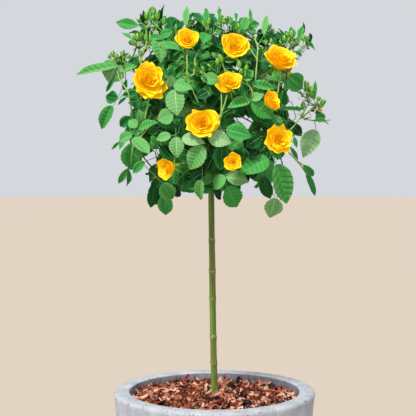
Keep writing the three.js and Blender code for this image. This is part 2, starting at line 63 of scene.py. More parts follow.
# The middle of the pot's underside, and its inner wall as how far it leans in and at what height
POT_FOOT = [(20, 0), (120, 0)]
POT_INSIDE = [(1.2, 296), (3, 276)]
MULCH = dict(edge=292, crest=301, radius=168, seat=14, sides=72, rings=24, heart=5, past_edge=1.5,
             under=2.5, bumps=2.4, bump_scale=0.09, calm_rings=2)
CHIP = dict(count=1900, shortest=9, longest=30, mostly_short=1.4, from_edge=5, from_stem=11, steps=5,
            breadth=(0.11, 0.21), thickness=(1.2, 2.8), slope=76, tilt=2.8, lift=(-2.5, 4.6),
            curl=(-0.3, 0.34), taper=(0.55, 0.45), taper_phase=(0.15, 0.7), uneven=(0.8, 1.15))
CHIP_SECTION = [(-1, 0.4), (0, -0.7), (1, 0.4), (0.9, 1.1), (0, 0.3), (-0.9, 1.1)]
STEM_LINE = [[0.4, 304.3], [-1.6, 372], [-3.6, 470], [-4.6, 565], [-6.6, 690], [-7, 745]]
STEM = dict(foot=8.6, flare=26, low=6.7, high=5.9, swell=0.9, span=7, union=11.5, union_span=15,
            sides=28, rows=200, sunk=3, above_union=12)
JOINTS = [365, 417, 497, 553, 613]
RELIEF = dict(groove=0.45, groove_scales=(2.2, 0.012), grain=0.22, grain_scales=(6, 0.09), scar=1.3,
              scar_slant=3.4, scar_turn=(0.5, 0.4), scar_side=0.3, lit=0.7, lit_side=205,
              lit_groove=0.7, brown=1.04, brown_groove=0.9, brown_grain=0.6)
# The stem's brown streak runs up one side, and turns round it near one height
STREAK = dict(bearing=-35, turned=-85, height=384, span=26)
BOUGH = dict(foot=21, foot_radius=4.6, tip_radius=3.1, share=0.36, lift=0.22, sunk=3, swell=0.6,
             uneven=0.3, points=10)

# The crown's outline, and how shoots, leaves and buds grow in it
CROWN = dict(middle=(-11, 0, 868), radius=236, up=196, down=185, power=3, step=2)
SHOOT = dict(stem=2.4, radius=1.7, tip=1.1, sides=8, room=1.1, heart=0.64, step=36, spring=0.34,
             detour=1.5, most_steps=4, fewest_rings=4, ring_every=9, pale_share=0.3, stem_points=9)
LEAF = dict(top=27, low=47, least=0.86, most=1.2, lowest=720, highest=1040, breadth=0.66, waist=0.42,
            thickness=1.3, fold=0.12, hang=0.14, stalk=0.34, step=0.42, next_to_end=0.9, shrink=0.12,
            sunk=0.4, splay=60, rib=1.2, margin=0.8, face_up=0.5, level=0.4, roll=0.9, droop=0.6, sway=0.5)
SIDE = dict(spacing=27, first=0.7, turn=144, try_turn=72, tries=5, reach=1.0, out=0.8, away=0.6,
            low_rise=-0.1, high_rise=0.6, low_hang=0.8, face_away=0.8, face_up=0.6, top_level=0.2,
            small_above=0.75, small_share=0.25, small_size=1.15, full_size=0.95)
# A leaf's rib: shares of its length, and its radius there
RIB = [(0, 0.95), (0.35, 0.7), (0.7, 0.6), (1, 0.5)]
END = dict(key=77, own_reach=1.2, reach=1.0, size=0.95, small_above=0.7)
STALK = dict(supple=90, bend=(0.15, 0.45), tries=12, points=10, leaf=(0.9, 0.6), bud=(1.4, 1.0),
             flower=(1.7, 1.2), spring=0.35, straight=0.7, flower_points=8, foot_points=6,
             foot_share=0.9)
YOUNG = dict(above=0.66, size=0.8, spacing=0.78, share=1.5)
BUD = dict(length=14, stalk=1.7, splay=37, bracts=2, showing=0.05, petal_tone=2, front_share=1.6,
           front_sizes=(10, 15))
SPARE = dict(count=86, top=0.97, bottom=-0.9, golden=137.508, depth=0.8, apart=45, outwards=0.6,
             leaf_hang=-0.35, flower_rise=0.4, buds_above=940, bud_step=2, blooms_behind=30, bloom_room=34,
             bloom_step=3, least_bloom=44, most_bloom=64, opened=(0.6, 1.1))
FINE = dict(count=400, top=0.98, bottom=-0.96, stray=40, apart=26, ceiling=1060, radius=1.0, tip=0.7,
            sides=6, inner=0.45, outer=0.92, outwards=0.6, away=0.8, climb=(-0.5, 0.5), longest=150,
            spacing=0.72, mass=99, bloom_step=9, first_bloom=3, blooms_behind=40, bloom_depth=0.94,
            blooms_apart=105, opened=(0.7, 1), bud_step=4, first_bud=1, buds_above=985,
            buds_outside=0.8, bud_size=0.85, wood=(0, 0.34, 0.67, 1), points=6)
SURFACE = dict(behind=-60, between=0.86, shoulder=34, patch=60, uneven=0.07)
FIT = dict(most=6000, past_box=14, bloom_room=0.52, limb_room=10, apart=8.5, near_share=0.55, near=30,
           open_front=-0.3, open_share=0.86, stem_heights=(620, 745, 12), bough_points=8)

# The camera's view of the front: shares of the crown's reach, depths in millimetres, and shares of
# a bloom, a leaflet or an open patch in the picture
FRONT = dict(painted_shade_tones=2, deep=0.93, outer=0.98, stems=0.95, root_depth=6, tip_depth=-4, nearer=-2,
             most_slant=26, sideways=0.45, face_up=(0.15, 0.6), pixel=2, breadth_seen=0.93, mass=98,
             bud_keys=400, search_step=4)
VIEW = dict(bloom_share=0.21, bloom_depth=8, leaf_share=0.8, leaf_depth=3, patch_share=1.3,
            wide_patch=4)

# How an end leaf looks for room: its pairs of leaflets, how far its rib turns outwards, and how far
# it moves towards the middle of its mass
NAMED_TRIES = [(2, 0, 0), (2, 0.5, 0), (2, 1.2, 0), (1, 0.3, 0), (1, 1.2, 0), (1, 2.4, 0), (1, 1, 14)]
SPARE_TRIES = [(1, 0, 0), (1, 0.6, 0), (1, 1.6, 0), (1, 0.8, 14), (1, 1.6, 28)]

# The masses of foliage: name, bearing and rise
MASSES = [
    ("top", 0, 86), ("upper_front", 5, 40), ("upper_right", 90, 46), ("upper_back", 180, 52),
    ("upper_left", -95, 48), ("lower_front", 0, -10), ("lower_right", 88, -6),
    ("lower_back_right", 152, 0), ("lower_back_left", -136, 0), ("lower_left", -66, 2),
]
# The blooms of the front: heart, breadth, bearing and rise, and how far each has opened
FRONT_BLOOMS = [
    ((-50, -204, 1001), 46, 0, 22, 0.66), ((-121, -206, 929), 74, 14, 20, 0.95),
    ((36, -210, 989), 55, 6, 16, 0.7), ((120, -188, 968), 66, 26, 46, 0.74),
    ((27, -226, 923), 43, 6, 34, 0.58), ((103, -206, 890), 47, 58, 24, 0.76),
    ((-24, -230, 851), 67, -2, 14, 0.95), ((119, -194, 821), 54, 12, 8, 0.9),
    ((33, -220, 779), 37, 0, 4, 0.66), ((-87, -206, 768), 46, -46, -14, 0.62),
]
# Bud groups of the outline and the front: place, bearing and rise
BUD_GROUPS = [
    ((-126, -52, 1052), -40, 70), ((-187, -120, 968), -80, 24), ((-152, -112, 1012), -60, 50),
    ((-52, -78, 1052), -10, 84), ((-17, -46, 1056), 0, 80), ((12, -104, 1050), 12, 74),
    ((68, -66, 1046), 24, 78), ((102, -112, 1032), 40, 70), ((158, -76, 1008), 70, 46),
    ((182, -118, 914), 70, 38), ((208, -52, 884), 84, 30), ((47, -216, 943), 10, 60),
    ((4, -218, 962), -6, 66), ((-36, -216, 954), -14, 52), ((60, 60, 1052), 150, 74),
    ((-70, 84, 1046), -150, 70), ((-150, 40, 1030), -110, 56), ((140, 70, 1024), 120, 60),
]
# Leaves of the outline and the front: place, length, bearing and rise
NAMED_LEAVES = [
    ((-240, -28, 944), 66, -88, -2), ((-208, -88, 860), 46, -70, -52), ((-196, -96, 896), 40, -60, -20),
    ((-176, -40, 1036), 40, -84, 14), ((-172, -112, 818), 44, -60, -40), ((-142, -150, 800), 46, -40, -50),
    ((-160, -128, 776), 42, -50, -62), ((-182, -72, 742), 40, -76, -70), ((-122, -110, 706), 48, -50, -60),
    ((-96, -84, 694), 44, -40, -80), ((-30, -128, 708), 44, -10, -74), ((48, -116, 706), 48, 20, -76),
    ((10, -160, 734), 46, 0, -54), ((82, -176, 758), 52, 24, -40), ((133, -124, 728), 70, 40, -64),
    ((104, -74, 690), 48, 60, -78), ((205, -66, 858), 46, 74, -30), ((188, -108, 808), 56, 58, -62),
    ((190, -84, 746), 42, 70, -58), ((186, -40, 706), 44, 80, -66), ((180, -112, 930), 40, 58, 6),
    ((188, -52, 984), 40, 78, 12), ((-66, -196, 900), 52, -14, -58), ((-22, -222, 800), 46, -6, -66),
]

# Leaflets of the front, as the camera sees them, in pixels: where each starts, where its tip is,
# its breadth, and its tone from 0 for deep green to 6 for pale green, partly the leaflet's own green and
# partly the painted shade or light that falls on it
FRONT_LEAFLETS = [
    (175, 89, 176.5, 116, 18, 5), (173, 114, 157, 120, 14, 4), (174, 84, 192, 88, 12, 4),
    (170, 87, 172, 75, 8, 5), (218, 80, 201, 77, 11, 4), (118, 99, 105, 96, 12, 1),
    (113, 106, 97, 130, 13, 2), (139, 93, 122, 95, 8, 1), (137, 100, 127, 103, 4, 1),
    (126, 98, 117, 105, 4, 1), (141, 121, 140, 110, 8, 4), (131, 117, 117, 127, 9, 1),
    (137, 127, 128, 119, 9, 4), (139, 129, 154, 120, 9, 3), (132, 135, 116, 140, 10, 4),
    (133, 138, 150, 154, 13, 4), (132, 143, 131, 173, 19, 2), (145, 162, 131, 173, 9, 2),
    (129, 168, 117, 185, 6, 3), (128, 169, 129, 189, 5, 2), (120, 142, 111, 150, 3, 2),
    (171, 136, 155, 138, 9, 4), (176, 137, 177, 158, 13, 5), (182, 138, 204, 141, 12, 6),
    (178, 135, 180, 122, 12, 0), (208, 136, 232, 142, 15, 6), (204, 146, 187, 170, 17, 4),
    (161, 145, 174, 160, 14, 0), (162, 183, 174, 202, 15, 3), (155, 181, 151, 209, 13, 1),
    (166, 194, 165, 217, 14, 2), (158, 192, 157, 208, 8, 1), (202, 180, 197, 202, 12, 4),
    (156, 165, 149, 183, 9, 1), (159, 177, 152, 190, 8, 1), (176, 184, 174, 201, 12, 0),
    (225, 176, 212, 189, 13, 4), (206, 172, 188, 180, 9, 0), (288, 76, 305, 90, 17, 2),
    (285, 105, 284, 91, 8, 1), (242, 80, 253, 69, 12, 3), (251, 84, 278, 87, 9, 3),
    (250, 100, 229, 104, 11, 3), (251, 100, 264, 93, 9, 4), (251, 102, 273, 119, 13, 3),
    (226, 130, 253, 135, 16, 2), (260, 137, 246, 147, 13, 0), (269, 146, 284, 159, 11, 2),
    (269, 159, 240, 170, 19, 3), (222, 146, 221, 171, 16, 1), (226, 177, 250, 180, 14, 5),
    (227, 186, 239, 210, 18, 3), (213, 190, 224, 200, 8, 0), (276, 164, 288, 205, 22, 3),
    (263, 176, 270, 201, 12, 1), (275, 198, 271, 219, 18, 5), (316, 130, 303, 157, 17, 6),
    (323, 121, 316, 111, 9, 3), (303, 165, 317, 179, 7, 2), (306, 174, 316, 197, 7, 2),
    (287, 122, 305, 136, 9, 0), (280, 109, 306, 109, 4, 2), (290, 147, 299, 161, 4, 2),
    (117, 64, 108, 83, 21, 5), (118, 66, 73, 73, 9, 4), (114, 64, 98, 64, 8, 4),
    (115, 76, 105, 94, 4, 2), (119, 70, 135, 65, 8, 4), (128, 62, 140, 62, 10, 1),
    (115, 63, 127, 61, 8, 1), (138, 26, 115, 22, 10, 3), (139, 35, 128, 29, 6, 1),
    (133, 40, 121, 32, 4, 3), (124, 90, 126, 80, 5, 1), (186, 26, 187, 4, 6, 4),
    (203, 21, 191, 12, 7, 1), (248, 27, 262, 20, 7, 2), (264, 35, 267, 14, 6, 4),
    (304, 41, 317, 50, 5, 2), (295, 52, 304, 56, 4, 2), (158, 37, 162, 59, 15, 4),
    (163, 44, 182, 49, 8, 3), (160, 36, 173, 31, 9, 2), (150, 38, 161, 37, 7, 2),
    (215, 72, 216, 60, 9, 1), (208, 70, 200, 62, 8, 1), (207, 33, 203, 44, 10, 3),
    (246, 56, 252, 44, 8, 1), (262, 62, 268, 70, 8, 1), (268, 38, 276, 32, 9, 1),
    (278, 38, 281, 30, 7, 1), (289, 42, 296, 36, 8, 1), (219, 24, 219, 5, 2.5, 3),
    (206, 17, 206, 4, 3, 2), (236, 21, 236, 9, 3, 2), (250, 21, 250, 8, 3, 2), (303, 34, 304, 22, 3, 2),
    (315, 96, 315, 80, 4, 2), (314, 121, 332, 120, 6, 3), (291, 133, 303, 135, 6, 1),
    (294, 137, 297, 148, 4, 2), (150, 22, 151, 6, 6, 2), (146, 25, 140, 14, 5, 1),
    (156, 24, 160, 10, 5, 1), (160, 27, 166, 15, 5, 1), (161, 22, 162, 6, 4, 1),
    (190, 22, 192, 9, 4, 1), (145, 30, 138, 22, 5, 1), (171, 27, 169, 14, 8, 1),
    (175, 29, 177, 17, 8, 0), (181, 29, 184, 19, 6, 1), (166, 31, 172, 22, 7, 1),
    (178, 31, 183, 25, 6, 0), (160, 31, 156, 21, 7, 0), (147, 21, 143, 10, 5, 1),
    (207, 23, 206, 8, 6, 2), (214, 26, 213, 15, 5, 1), (218, 27, 222, 16, 6, 2),
    (228, 25, 226, 13, 5, 1), (232, 27, 235, 17, 6, 1), (243, 30, 247, 16, 8, 3),
    (240, 31, 239, 20, 5, 2), (250, 32, 257, 30, 4, 2), (268, 40, 266, 31, 7, 1),
    (273, 41, 272, 31, 7, 0), (211, 33, 206, 27, 6, 1), (216, 33, 221, 30, 5, 2),
    (288, 40, 286, 30, 5, 2), (293, 38, 291, 26, 6, 2), (299, 37, 303, 24, 6, 4),
    (311, 40, 310, 33, 4, 1), (134, 44, 128, 38, 4, 2), (144, 46, 150, 36, 5, 1),
    (118, 62, 126, 52, 4, 1), (288, 42, 283, 32, 5, 1), (298, 42, 303, 24, 5, 2),
    (276, 44, 270, 36, 5, 1), (306, 46, 312, 38, 5, 1), (170, 78, 173, 66, 8, 1),
    (196, 64, 188, 70, 8, 1), (207, 92, 196, 98, 11, 0), (220, 94, 212, 86, 9, 1),
    (164, 72, 176, 76, 9, 1), (232, 112, 244, 108, 9, 1), (218, 122, 226, 112, 7, 1),
    (192, 98, 206, 104, 9, 0), (150, 98, 160, 106, 9, 0), (158, 128, 148, 134, 8, 1),
    (262, 122, 276, 126, 9, 1), (232, 152, 246, 158, 9, 0), (196, 184, 186, 188, 8, 1),
    (258, 150, 250, 160, 9, 0), (212, 158, 206, 172, 10, 0), (170, 160, 160, 166, 8, 1),
]
# Groups of buds that stand out in the front view: foot, top, and how many buds
FRONT_BUDS = [
    (115, 61, 112, 51, 2), (123, 60, 122, 50, 3), (139, 45, 137, 33, 2), (146, 45, 146, 34, 1),
    (141, 60, 140, 50, 2), (148, 24, 146, 12, 2), (155, 23, 153, 7, 1), (158, 24, 157, 12, 2),
    (164, 29, 164, 17, 2), (176, 31, 176, 24, 1), (208, 29, 209, 18, 2), (219, 17, 219, 8, 1),
    (224, 28, 223, 17, 2), (231, 28, 231, 17, 2), (239, 32, 238, 23, 2), (271, 46, 271, 38, 1),
    (284, 45, 284, 35, 3), (292, 42, 291, 30, 2), (303, 45, 303, 34, 2), (308, 44, 307, 35, 1),
    (307, 94, 306, 81, 1), (310, 99, 312, 88, 2), (316, 104, 320, 96, 2), (319, 108, 325, 99, 1),
    (304, 113, 303, 101, 2), (224, 68, 219, 54, 1), (241, 72, 238, 60, 1), (245, 74, 247, 64, 1),
    (204, 72, 202, 66, 2), (189, 80, 188, 72, 2),
]
# Bare flower stems that stand out in the front view, from the top down
FRONT_STEMS = [
    ((258, 43), (257.5, 60), (255, 82)), ((254, 34), (256, 42)), ((240, 82), (252, 84), (253, 96)),
    ((221, 91), (222, 101), (221, 116)), ((227, 95), (224, 108), (218, 120)),
    ((309, 102), (302, 118), (290, 130)), ((319, 100), (311, 110), (302, 118)),
    ((187, 50), (187, 64), (187, 80)), ((195, 58), (194, 74)), ((330, 120), (312, 122), (303, 118)),
    ((306, 94), (309, 104)), ((140, 60), (141, 70)), ((138, 44), (139, 54)), ((146, 26), (147, 42)),
    ((150, 24), (150, 40)), ((155, 24), (153, 40)), ((295, 42), (293, 52)), ((304, 46), (296, 52)),
    ((119, 78), (128, 92)), ((150, 92), (148, 104), (145, 118)), ((281, 72), (279, 82), (278, 92)),
    ((306, 173), (298, 161), (286, 150)), ((303, 165), (300, 163)),
    ((129, 169), (131, 160), (133, 148)),
]
# The front view in pixels: the crown's left and right side at several heights, and the open patches
# that leaves keep clear, as the middle and the half breadth and half height of each
SIDES = [
    (13, 146, 248), (20, 142, 262), (30, 138, 300), (40, 140, 302), (50, 136, 296), (60, 122, 292),
    (80, 124, 288), (100, 126, 287), (120, 122, 292), (140, 126, 300), (150, 132, 292), (158, 160, 286),
    (170, 156, 280), (180, 152, 274), (187, 154, 258), (193, 184, 238),
]
OPEN_PATCHES = [
    (142, 47, 6, 8), (150, 50, 4, 5), (155, 28, 4, 4), (142, 33, 4, 3), (168, 60, 6, 2),
    (190, 55, 4, 3), (215, 34, 5, 4), (226, 25, 4, 6), (252, 32, 6, 3), (262, 39, 3, 3),
    (272, 44, 3, 2), (291, 46, 4, 4), (301, 48, 6, 5), (250, 64, 4, 3), (268, 77, 2, 2),
    (281, 79, 3, 3), (131, 108, 6, 5), (121, 78, 3, 6), (296, 100, 9, 9), (296, 116, 7, 5),
    (244, 120, 5, 7), (257, 131, 8, 4), (156, 157, 6, 9), (274, 163, 4, 5), (126, 83, 6, 8),
    (130, 74, 5, 4), (120, 110, 6, 5), (154, 112, 3, 3), (149, 132, 3, 4), (158, 182, 4, 5),
    (252, 188, 8, 5), (184, 24, 3, 8), (122, 166, 4, 8), (146, 184, 3, 6), (298, 59, 5, 4),
    (287, 160, 5, 6), (132, 50, 5, 8),
]

CAMERA = dict(place=(-0.0132, -2.5, 0.863), drop=92, focus=1250, picture=416, sensor=36)

# Leaves by the height of their feet: the piece, the masses it stands for, and its lowest and highest
LEAF_PIECES = [("leaves_top", "top", 990, 2000), ("leaves_high", "upper", 890, 990),
               ("leaves_low", "lower", 0, 890)]

# Cast concrete: each layer's scale, stretch, detail and the shares of noise where its two tones end.
# The amounts say how much the streaks, the grains and the pits darken it, and the four colours of a
# face of the pot are its light tone, its dark tone, its pits and its grains
WHITE = (255, 255, 255)
CONCRETE = dict(roughness=0.82, specular=0.3, relief=0.5, depth=0.0012, streak=(206, 206, 210),
                amounts=(0.4, 0.8, 0.85), clouds=(22, 1, 5, 0.34, 0.66),
                streaks=(46, 0.2, 3, 0.36, 0.6), grains=(520, 1, 2, 0.34, 0.6),
                pits=(230, 1, 2, 0.3, 0.35))
CONCRETE_COLOURS = dict(side=((190, 193, 201), (168, 172, 182), (84, 86, 92), (232, 232, 234)),
                        rim=((192, 195, 197), (168, 173, 178), (88, 90, 94), (222, 222, 226)),
                        # The inside's darker tones are painted shade on the inner wall below the rim
                        inside=((154, 150, 156), (122, 120, 125), (70, 68, 70), (150, 150, 154)))
OUTSIDE, RIM_BAND, SHADED_INSIDE = range(3)

# Floor and daylight: each lamp's direction, strength and breadth in degrees
FLOOR = dict(reach=11, sides=64, colour=(182, 168, 152))
DAYLIGHT = dict(colour=(0.92, 0.95, 1, 1), strength=0.72)
LAMPS = [("sun", (-1.1, -1.7, 2.4), 3.75, 12), ("fill", (1.8, -2.2, 1.2), 0.5, 60)]

# Colours of each joined mesh, in the order of the numbers under which its faces name them
TWIG_COLOURS = dict(twig_green=(98, 138, 62), twig_dark_green=(74, 112, 50),
                    twig_pale_green=(138, 178, 86), leaf_stalk=(96, 142, 66))
TWIG, DARK_TWIG, PALE_TWIG, LEAF_STALK = range(4)
GREEN_COLOURS = dict(bloom_cup=(86, 142, 56), bud_green=(132, 182, 56), sepal_light=(84, 152, 58),
                     sepal_green=(44, 118, 48), bract_green=(26, 98, 38))
CUP, BUD_SKIN, PALE_SEPAL, SEPAL, BRACT = range(5)
STEM_COLOURS = dict(stem_green=(80, 104, 18), stem_lit_green=(104, 130, 34), stem_brown=(122, 100, 74),
                    stem_scar=(152, 130, 86), stem_dark_green=(80, 104, 38))
BARK, LIT_BARK, BROWN_BARK, SCAR, DARK_BARK = range(5)
MULCH_COLOURS = dict(chip_dark=(38, 14, 8), chip_red_brown=(134, 62, 36), chip_brown=(166, 98, 66),
                     chip_pale=(214, 166, 140), chip_russet=(96, 42, 26), mulch_painted_shade=(10, 4, 2))
CHIP_TONES = 5
SOIL_COLOUR = (58, 42, 32)

# The curve by which screens show light: straight up to its knee, and a power above it
SCREEN = dict(knee=0.04045, slope=12.92, offset=0.055, power=2.4)

# How rough and how shiny each kind of surface is, and for the petals how strongly they glow in their own
# colour, a painted glow that lifts their shade
LOOKS = dict(stem=(0.5,), twigs=(0.5,), leaves=(0.5, 0.16), petals=(0.55, 0.2, 0.2), greens=(0.5, 0.3),
             chips=(0.4, 0.22), soil=(0.95,), floor=(0.8, 0.2))


def vector(*values):
    return np.array(values, dtype=float)


UP = vector(0, 0, 1)
ACROSS = vector(1, 0, 0)
STEADY = vector(0.3, 1, 0.2)
NEARLY_UPRIGHT = 0.9


def length_of(way):
    return float(np.sqrt(way @ way))


def blend(*pairs):
    total = sum(way * share for way, share in pairs)
    return total / (length_of(total) or 1)


def unit(way):
    return blend((way, 1))


def mix(low, high, share):
    return low + (high - low) * share


def clamp(value, low, high):
    return max(low, min(high, value))


def heading(bearing, rise):
    turn, climb = math.radians(bearing), math.radians(rise)
    return vector(math.cos(climb) * math.sin(turn), -math.cos(climb) * math.cos(turn), math.sin(climb))


def cross_ways(way):
    """Two ways across a way, which turn little where the way bends."""
    side = unit(np.cross(way, STEADY))
    return side, np.cross(way, side)


def around(ways, angle, *more):
    """A way at an angle round an axis, from two ways across it, leant by pairs of way and share."""
    return blend((ways[0], math.cos(angle)), (ways[1], math.sin(angle)), *more)


def chance(*keys):
    """A steady draw from 0 to 1 for some keys, by the same rule as in the solids."""
    total = 0.5
    for key in keys:
        total = math.fmod(total * 31.7 + key * 12.9898 + 4.1, 1000)
    wave = math.sin(total) * 43758.5453
    return wave - math.floor(wave)


def bezier(corners, shares):
    first, second, third, last = corners
    t = np.atleast_1d(np.asarray(shares, dtype=float))[:, None]
    return ((1 - t) ** 3 * first + 3 * (1 - t) ** 2 * t * second
            + 3 * (1 - t) * t ** 2 * third + t ** 3 * last)


def curve(corners, count, last=1):
    """Points in even steps along a bend, up to its last share."""
    return bezier(corners, np.linspace(0, last, count))


def bezier_way(corners, share):
    first, second, third, last = corners
    return blend((second - first, (1 - share) ** 2), (third - second, 2 * share * (1 - share)),
                 (last - third, share ** 2))


# The crown's outline, the spaces of its masses and the boughs
UNION = vector(STEM_LINE[-1][0], 0, STEM_LINE[-1][1])
MIDDLE = vector(*CROWN["middle"])
WAYS = [heading(bearing, rise) for _, bearing, rise in MASSES]
BORDERS = [np.array([unit(way - other) for other in WAYS if other is not way]) for way in WAYS]


def outline_share(point):
    x, y, z = point - MIDDLE
    across = math.hypot(x, y) / CROWN["radius"]
    rise = abs(z) / (CROWN["up"] if z > 0 else CROWN["down"])
    return (across ** CROWN["power"] + rise ** CROWN["power"]) ** (1 / CROWN["power"])


def reach_from_union(way):
    reach = BOUGH["foot"]
    while outline_share(UNION + way * reach) < 1:
        reach += CROWN["step"]
    return reach


def outward(point):
    return unit(point - MIDDLE)


def height_share(point):
    return clamp((point[2] - LEAF["lowest"]) / (LEAF["highest"] - LEAF["lowest"]), 0, 1)


def youth(point):
    """How young the growth is at a height, from 0 for full-grown leaves to 1 at the crown's top."""
    return clamp((height_share(point) - YOUNG["above"]) / (1 - YOUNG["above"]), 0, 1)


def room_in_space(point, index):
    return float((BORDERS[index] @ (point - UNION)).min())


def mass_of(*points):
    rooms = [min(room_in_space(point, index) for point in points) for index in range(len(MASSES))]
    room = max(rooms)
    return room, rooms.index(room)


def surface_share(point):
    """How near leaves come to the crown's outline: less between two masses, and a little uneven."""
    room = clamp(mass_of(point)[0] / SURFACE["shoulder"], 0, 1)
    uneven = noise.noise(Vector(point / SURFACE["patch"]))
    return mix(SURFACE["between"], 1, math.sin(room * math.pi / 2)) + SURFACE["uneven"] * uneven


def bough_corners(way):
    foot = UNION + way * BOUGH["foot"]
    length = reach_from_union(way) * BOUGH["share"] - BOUGH["foot"]
    end_way = blend((way, 1), (UP, BOUGH["lift"]))
    tip = foot + way * (length / 2) + end_way * (length / 2)
    return foot, foot + way * (length / 3), tip - end_way * (length / 3), tip


# Leaves: a rib with pairs of leaflets and one at its end
def leaflet_plan(foot, way, face, length):
    """A leaflet's place: its corners, its middle, and the ways along it, across it and off its face."""
    side = unit(np.cross(way, face))
    normal = np.cross(side, way)
    root = foot - way * LEAF["sunk"]
    middle = root + way * (length * LEAF["waist"]) + normal * LEAF["thickness"]
    edge = middle + normal * (length * LEAF["fold"])
    half = side * (length * LEAF["breadth"] / 2)
    return dict(root=root, middle=middle, left=edge - half, right=edge + half, tip=root + way * length,
                way=way, side=side, normal=normal, length=length)


def rib_length(length, pairs):
    return length * (LEAF["stalk"] + (pairs - 0.5) * LEAF["step"])


def leaf_plan(base, rib_way, tip_way, face, length, pairs, key=None):
    """A leaf's leaflets from its foot to its end. With a key, each turns a little its own way."""
    side = unit(np.cross(rib_way, face))
    forward = blend((rib_way, 1), (tip_way, 1))
    splay = math.radians(LEAF["splay"])
    leaflets = []
    for pair in range(pairs):
        foot = base + rib_way * (length * (LEAF["stalk"] + pair * LEAF["step"]))
        size = length * (LEAF["next_to_end"] - LEAF["shrink"] * (pairs - 1 - pair))
        for hand in (-1, 1):
            out = blend((forward, math.cos(splay)), (side, hand * math.sin(splay)), (face, -LEAF["hang"]))
            turned_face = face
            if key is not None:
                roll = (chance(*key, pair, hand + 1) - LEAF["level"]) * LEAF["roll"]
                turned_face = blend((face, 1), (side, hand * roll))
                out = blend((out, 1), (UP, (chance(*key, pair, hand + 3) - LEAF["droop"]) * LEAF["sway"]))
            leaflets.append(leaflet_plan(foot, out, turned_face, size))
    end = base + rib_way * rib_length(length, pairs)
    leaflets.append(leaflet_plan(end, tip_way, face, length))
    return dict(base=base, end=end, rib_way=rib_way, leaflets=leaflets)


def leaf_length(point, share):
    return mix(LEAF["low"], LEAF["top"], height_share(point)) * mix(LEAF["least"], LEAF["most"], share)


def settle_end_leaf(tip):
    """The first of a tip's tries whose leaf stays in the space of one mass, as in the solids."""
    face = blend((outward(tip["at"]), 1), (UP, LEAF["face_up"]))
    spine = WAYS[mass_of(tip["at"])[1]]
    in_middle = UNION + spine * float((tip["at"] - UNION) @ spine)
    for pairs, turn, slide in tip["tries"]:
        at = tip["at"] + unit(in_middle - tip["at"]) * slide
        away = unit(at - UNION)
        rib_way = blend((tip["way"], 1), (away, turn))
        end = at - tip["way"] * (tip["size"] / 2)
        base = end - rib_way * rib_length(tip["size"], pairs)
        plan = leaf_plan(base, rib_way, tip["way"], face, tip["size"], pairs)
        last = plan["leaflets"][-1]
        room, index = mass_of(base, last["tip"], last["left"], last["right"])
        if room > LEAF["rib"] + LEAF["margin"]:
            return dict(tip, plan=plan, mass=index)
    return None


def spare_tip(i):
    """The tip of a shoot that no table names, by the same rule as in the solids."""
    rise = mix(SPARE["top"], SPARE["bottom"], (i + 0.5) / SPARE["count"])
    way = heading(i * SPARE["golden"], math.degrees(math.asin(rise)))
    at = MIDDLE + way * (SPARE["depth"] / outline_share(MIDDLE + way))
    kind = "leaf"
    if at[2] > SPARE["buds_above"] and i % SPARE["bud_step"] == 0:
        kind = "buds"
    if at[1] > SPARE["blooms_behind"] and i % SPARE["bloom_step"] == 0:
        kind = "bloom" if mass_of(at)[0] > SPARE["bloom_room"] else kind
    size = dict(leaf=leaf_length(at, chance(i, 2)), buds=BUD["length"],
                bloom=mix(SPARE["least_bloom"], SPARE["most_bloom"], chance(i, 1)))[kind]
    climb = SPARE["leaf_hang"] if kind == "leaf" else SPARE["flower_rise"]
    facing = blend((way, SPARE["outwards"]), (unit(at - UNION), SPARE["outwards"]), (UP, climb))
    opened = mix(*SPARE["opened"], chance(i, 5))
    return dict(kind=kind, at=at, size=size, way=facing, side_buds=1, tries=SPARE_TRIES, opened=opened)


def crown_tips():
    tips = [dict(kind="bloom", at=vector(*at), size=size, way=heading(bearing, rise), opened=opened)
            for at, size, bearing, rise, opened in FRONT_BLOOMS]
    tips += [dict(kind="buds", at=vector(*at), size=BUD["length"], way=heading(*facing), side_buds=2)
             for at, *facing in BUD_GROUPS]
    tips += [dict(kind="leaf", at=vector(*at), size=size, way=heading(*facing), tries=NAMED_TRIES)
             for at, size, *facing in NAMED_LEAVES]
    for i in range(SPARE["count"]):
        tip = spare_tip(i)
        if all(length_of(other["at"] - tip["at"]) > SPARE["apart"] for other in tips):
            tips.append(tip)
    settled = [settle_end_leaf(tip) if tip["kind"] == "leaf" else dict(tip, mass=mass_of(tip["at"])[1])
               for tip in tips]
    return [tip for tip in settled if tip]


# Wood: each shoot leaves the wood that lies best for its tip
def wood_places(points, shoot=None):
    """Places where a shoot may start: where each is, its way, and how far along which shoot."""
    places = []
    last = len(points) - 1
    for i in range(1, len(points)):
        way = unit(points[i] - points[i - 1])
        places.append(((points[i - 1] + points[i]) / 2, way, shoot, (i - 0.5) / last))
        if i < last:
            places.append((points[i], way, shoot, i / last))
    return places


def best_start(wood, end, end_way=None):
    """The place on the wood that suits a new twig best: near its end, and already on the way there."""
    offsets = end - np.array([place[0] for place in wood])
    distances = np.sqrt((offsets ** 2).sum(1))
    lined = (offsets * np.array([place[1] for place in wood])).sum(1) / distances
    costs = distances * (SHOOT["detour"] - lined)
    if end_way is not None:
        costs *= SHOOT["detour"] - offsets @ end_way / distances
    return wood[int(np.argmin(costs))]


def clear_stalk(wood, end, end_way):
    """The curve of a stalk to a thing of the front, from the best wood that keeps it off the blooms."""
    open_wood = list(wood)
    for _ in range(STALK["tries"]):
        start = best_start(open_wood, end, end_way)
        bend = clamp(length_of(end - start[0]) / STALK["supple"], *STALK["bend"])
        line = curve(shoot_corners(start, end, end_way, bend)[0], STALK["points"])
        if not hides_bloom(line):
            break
        open_wood = [place for place in open_wood if place is not start]
    hold(start)
    return line


def shoot_corners(place, end, end_way, bend=1):
    at, way = place[:2]
    length = length_of(end - at)
    spring = length * SHOOT["spring"] * bend
    return (at, at + way * spring, end - end_way * spring, end), length


def hold(place):
    """Keeps the shoot that carries a place as long as the place needs."""
    shoot, share = place[2:]
    if shoot:
        shoot["needed"] = max(shoot["needed"], share)


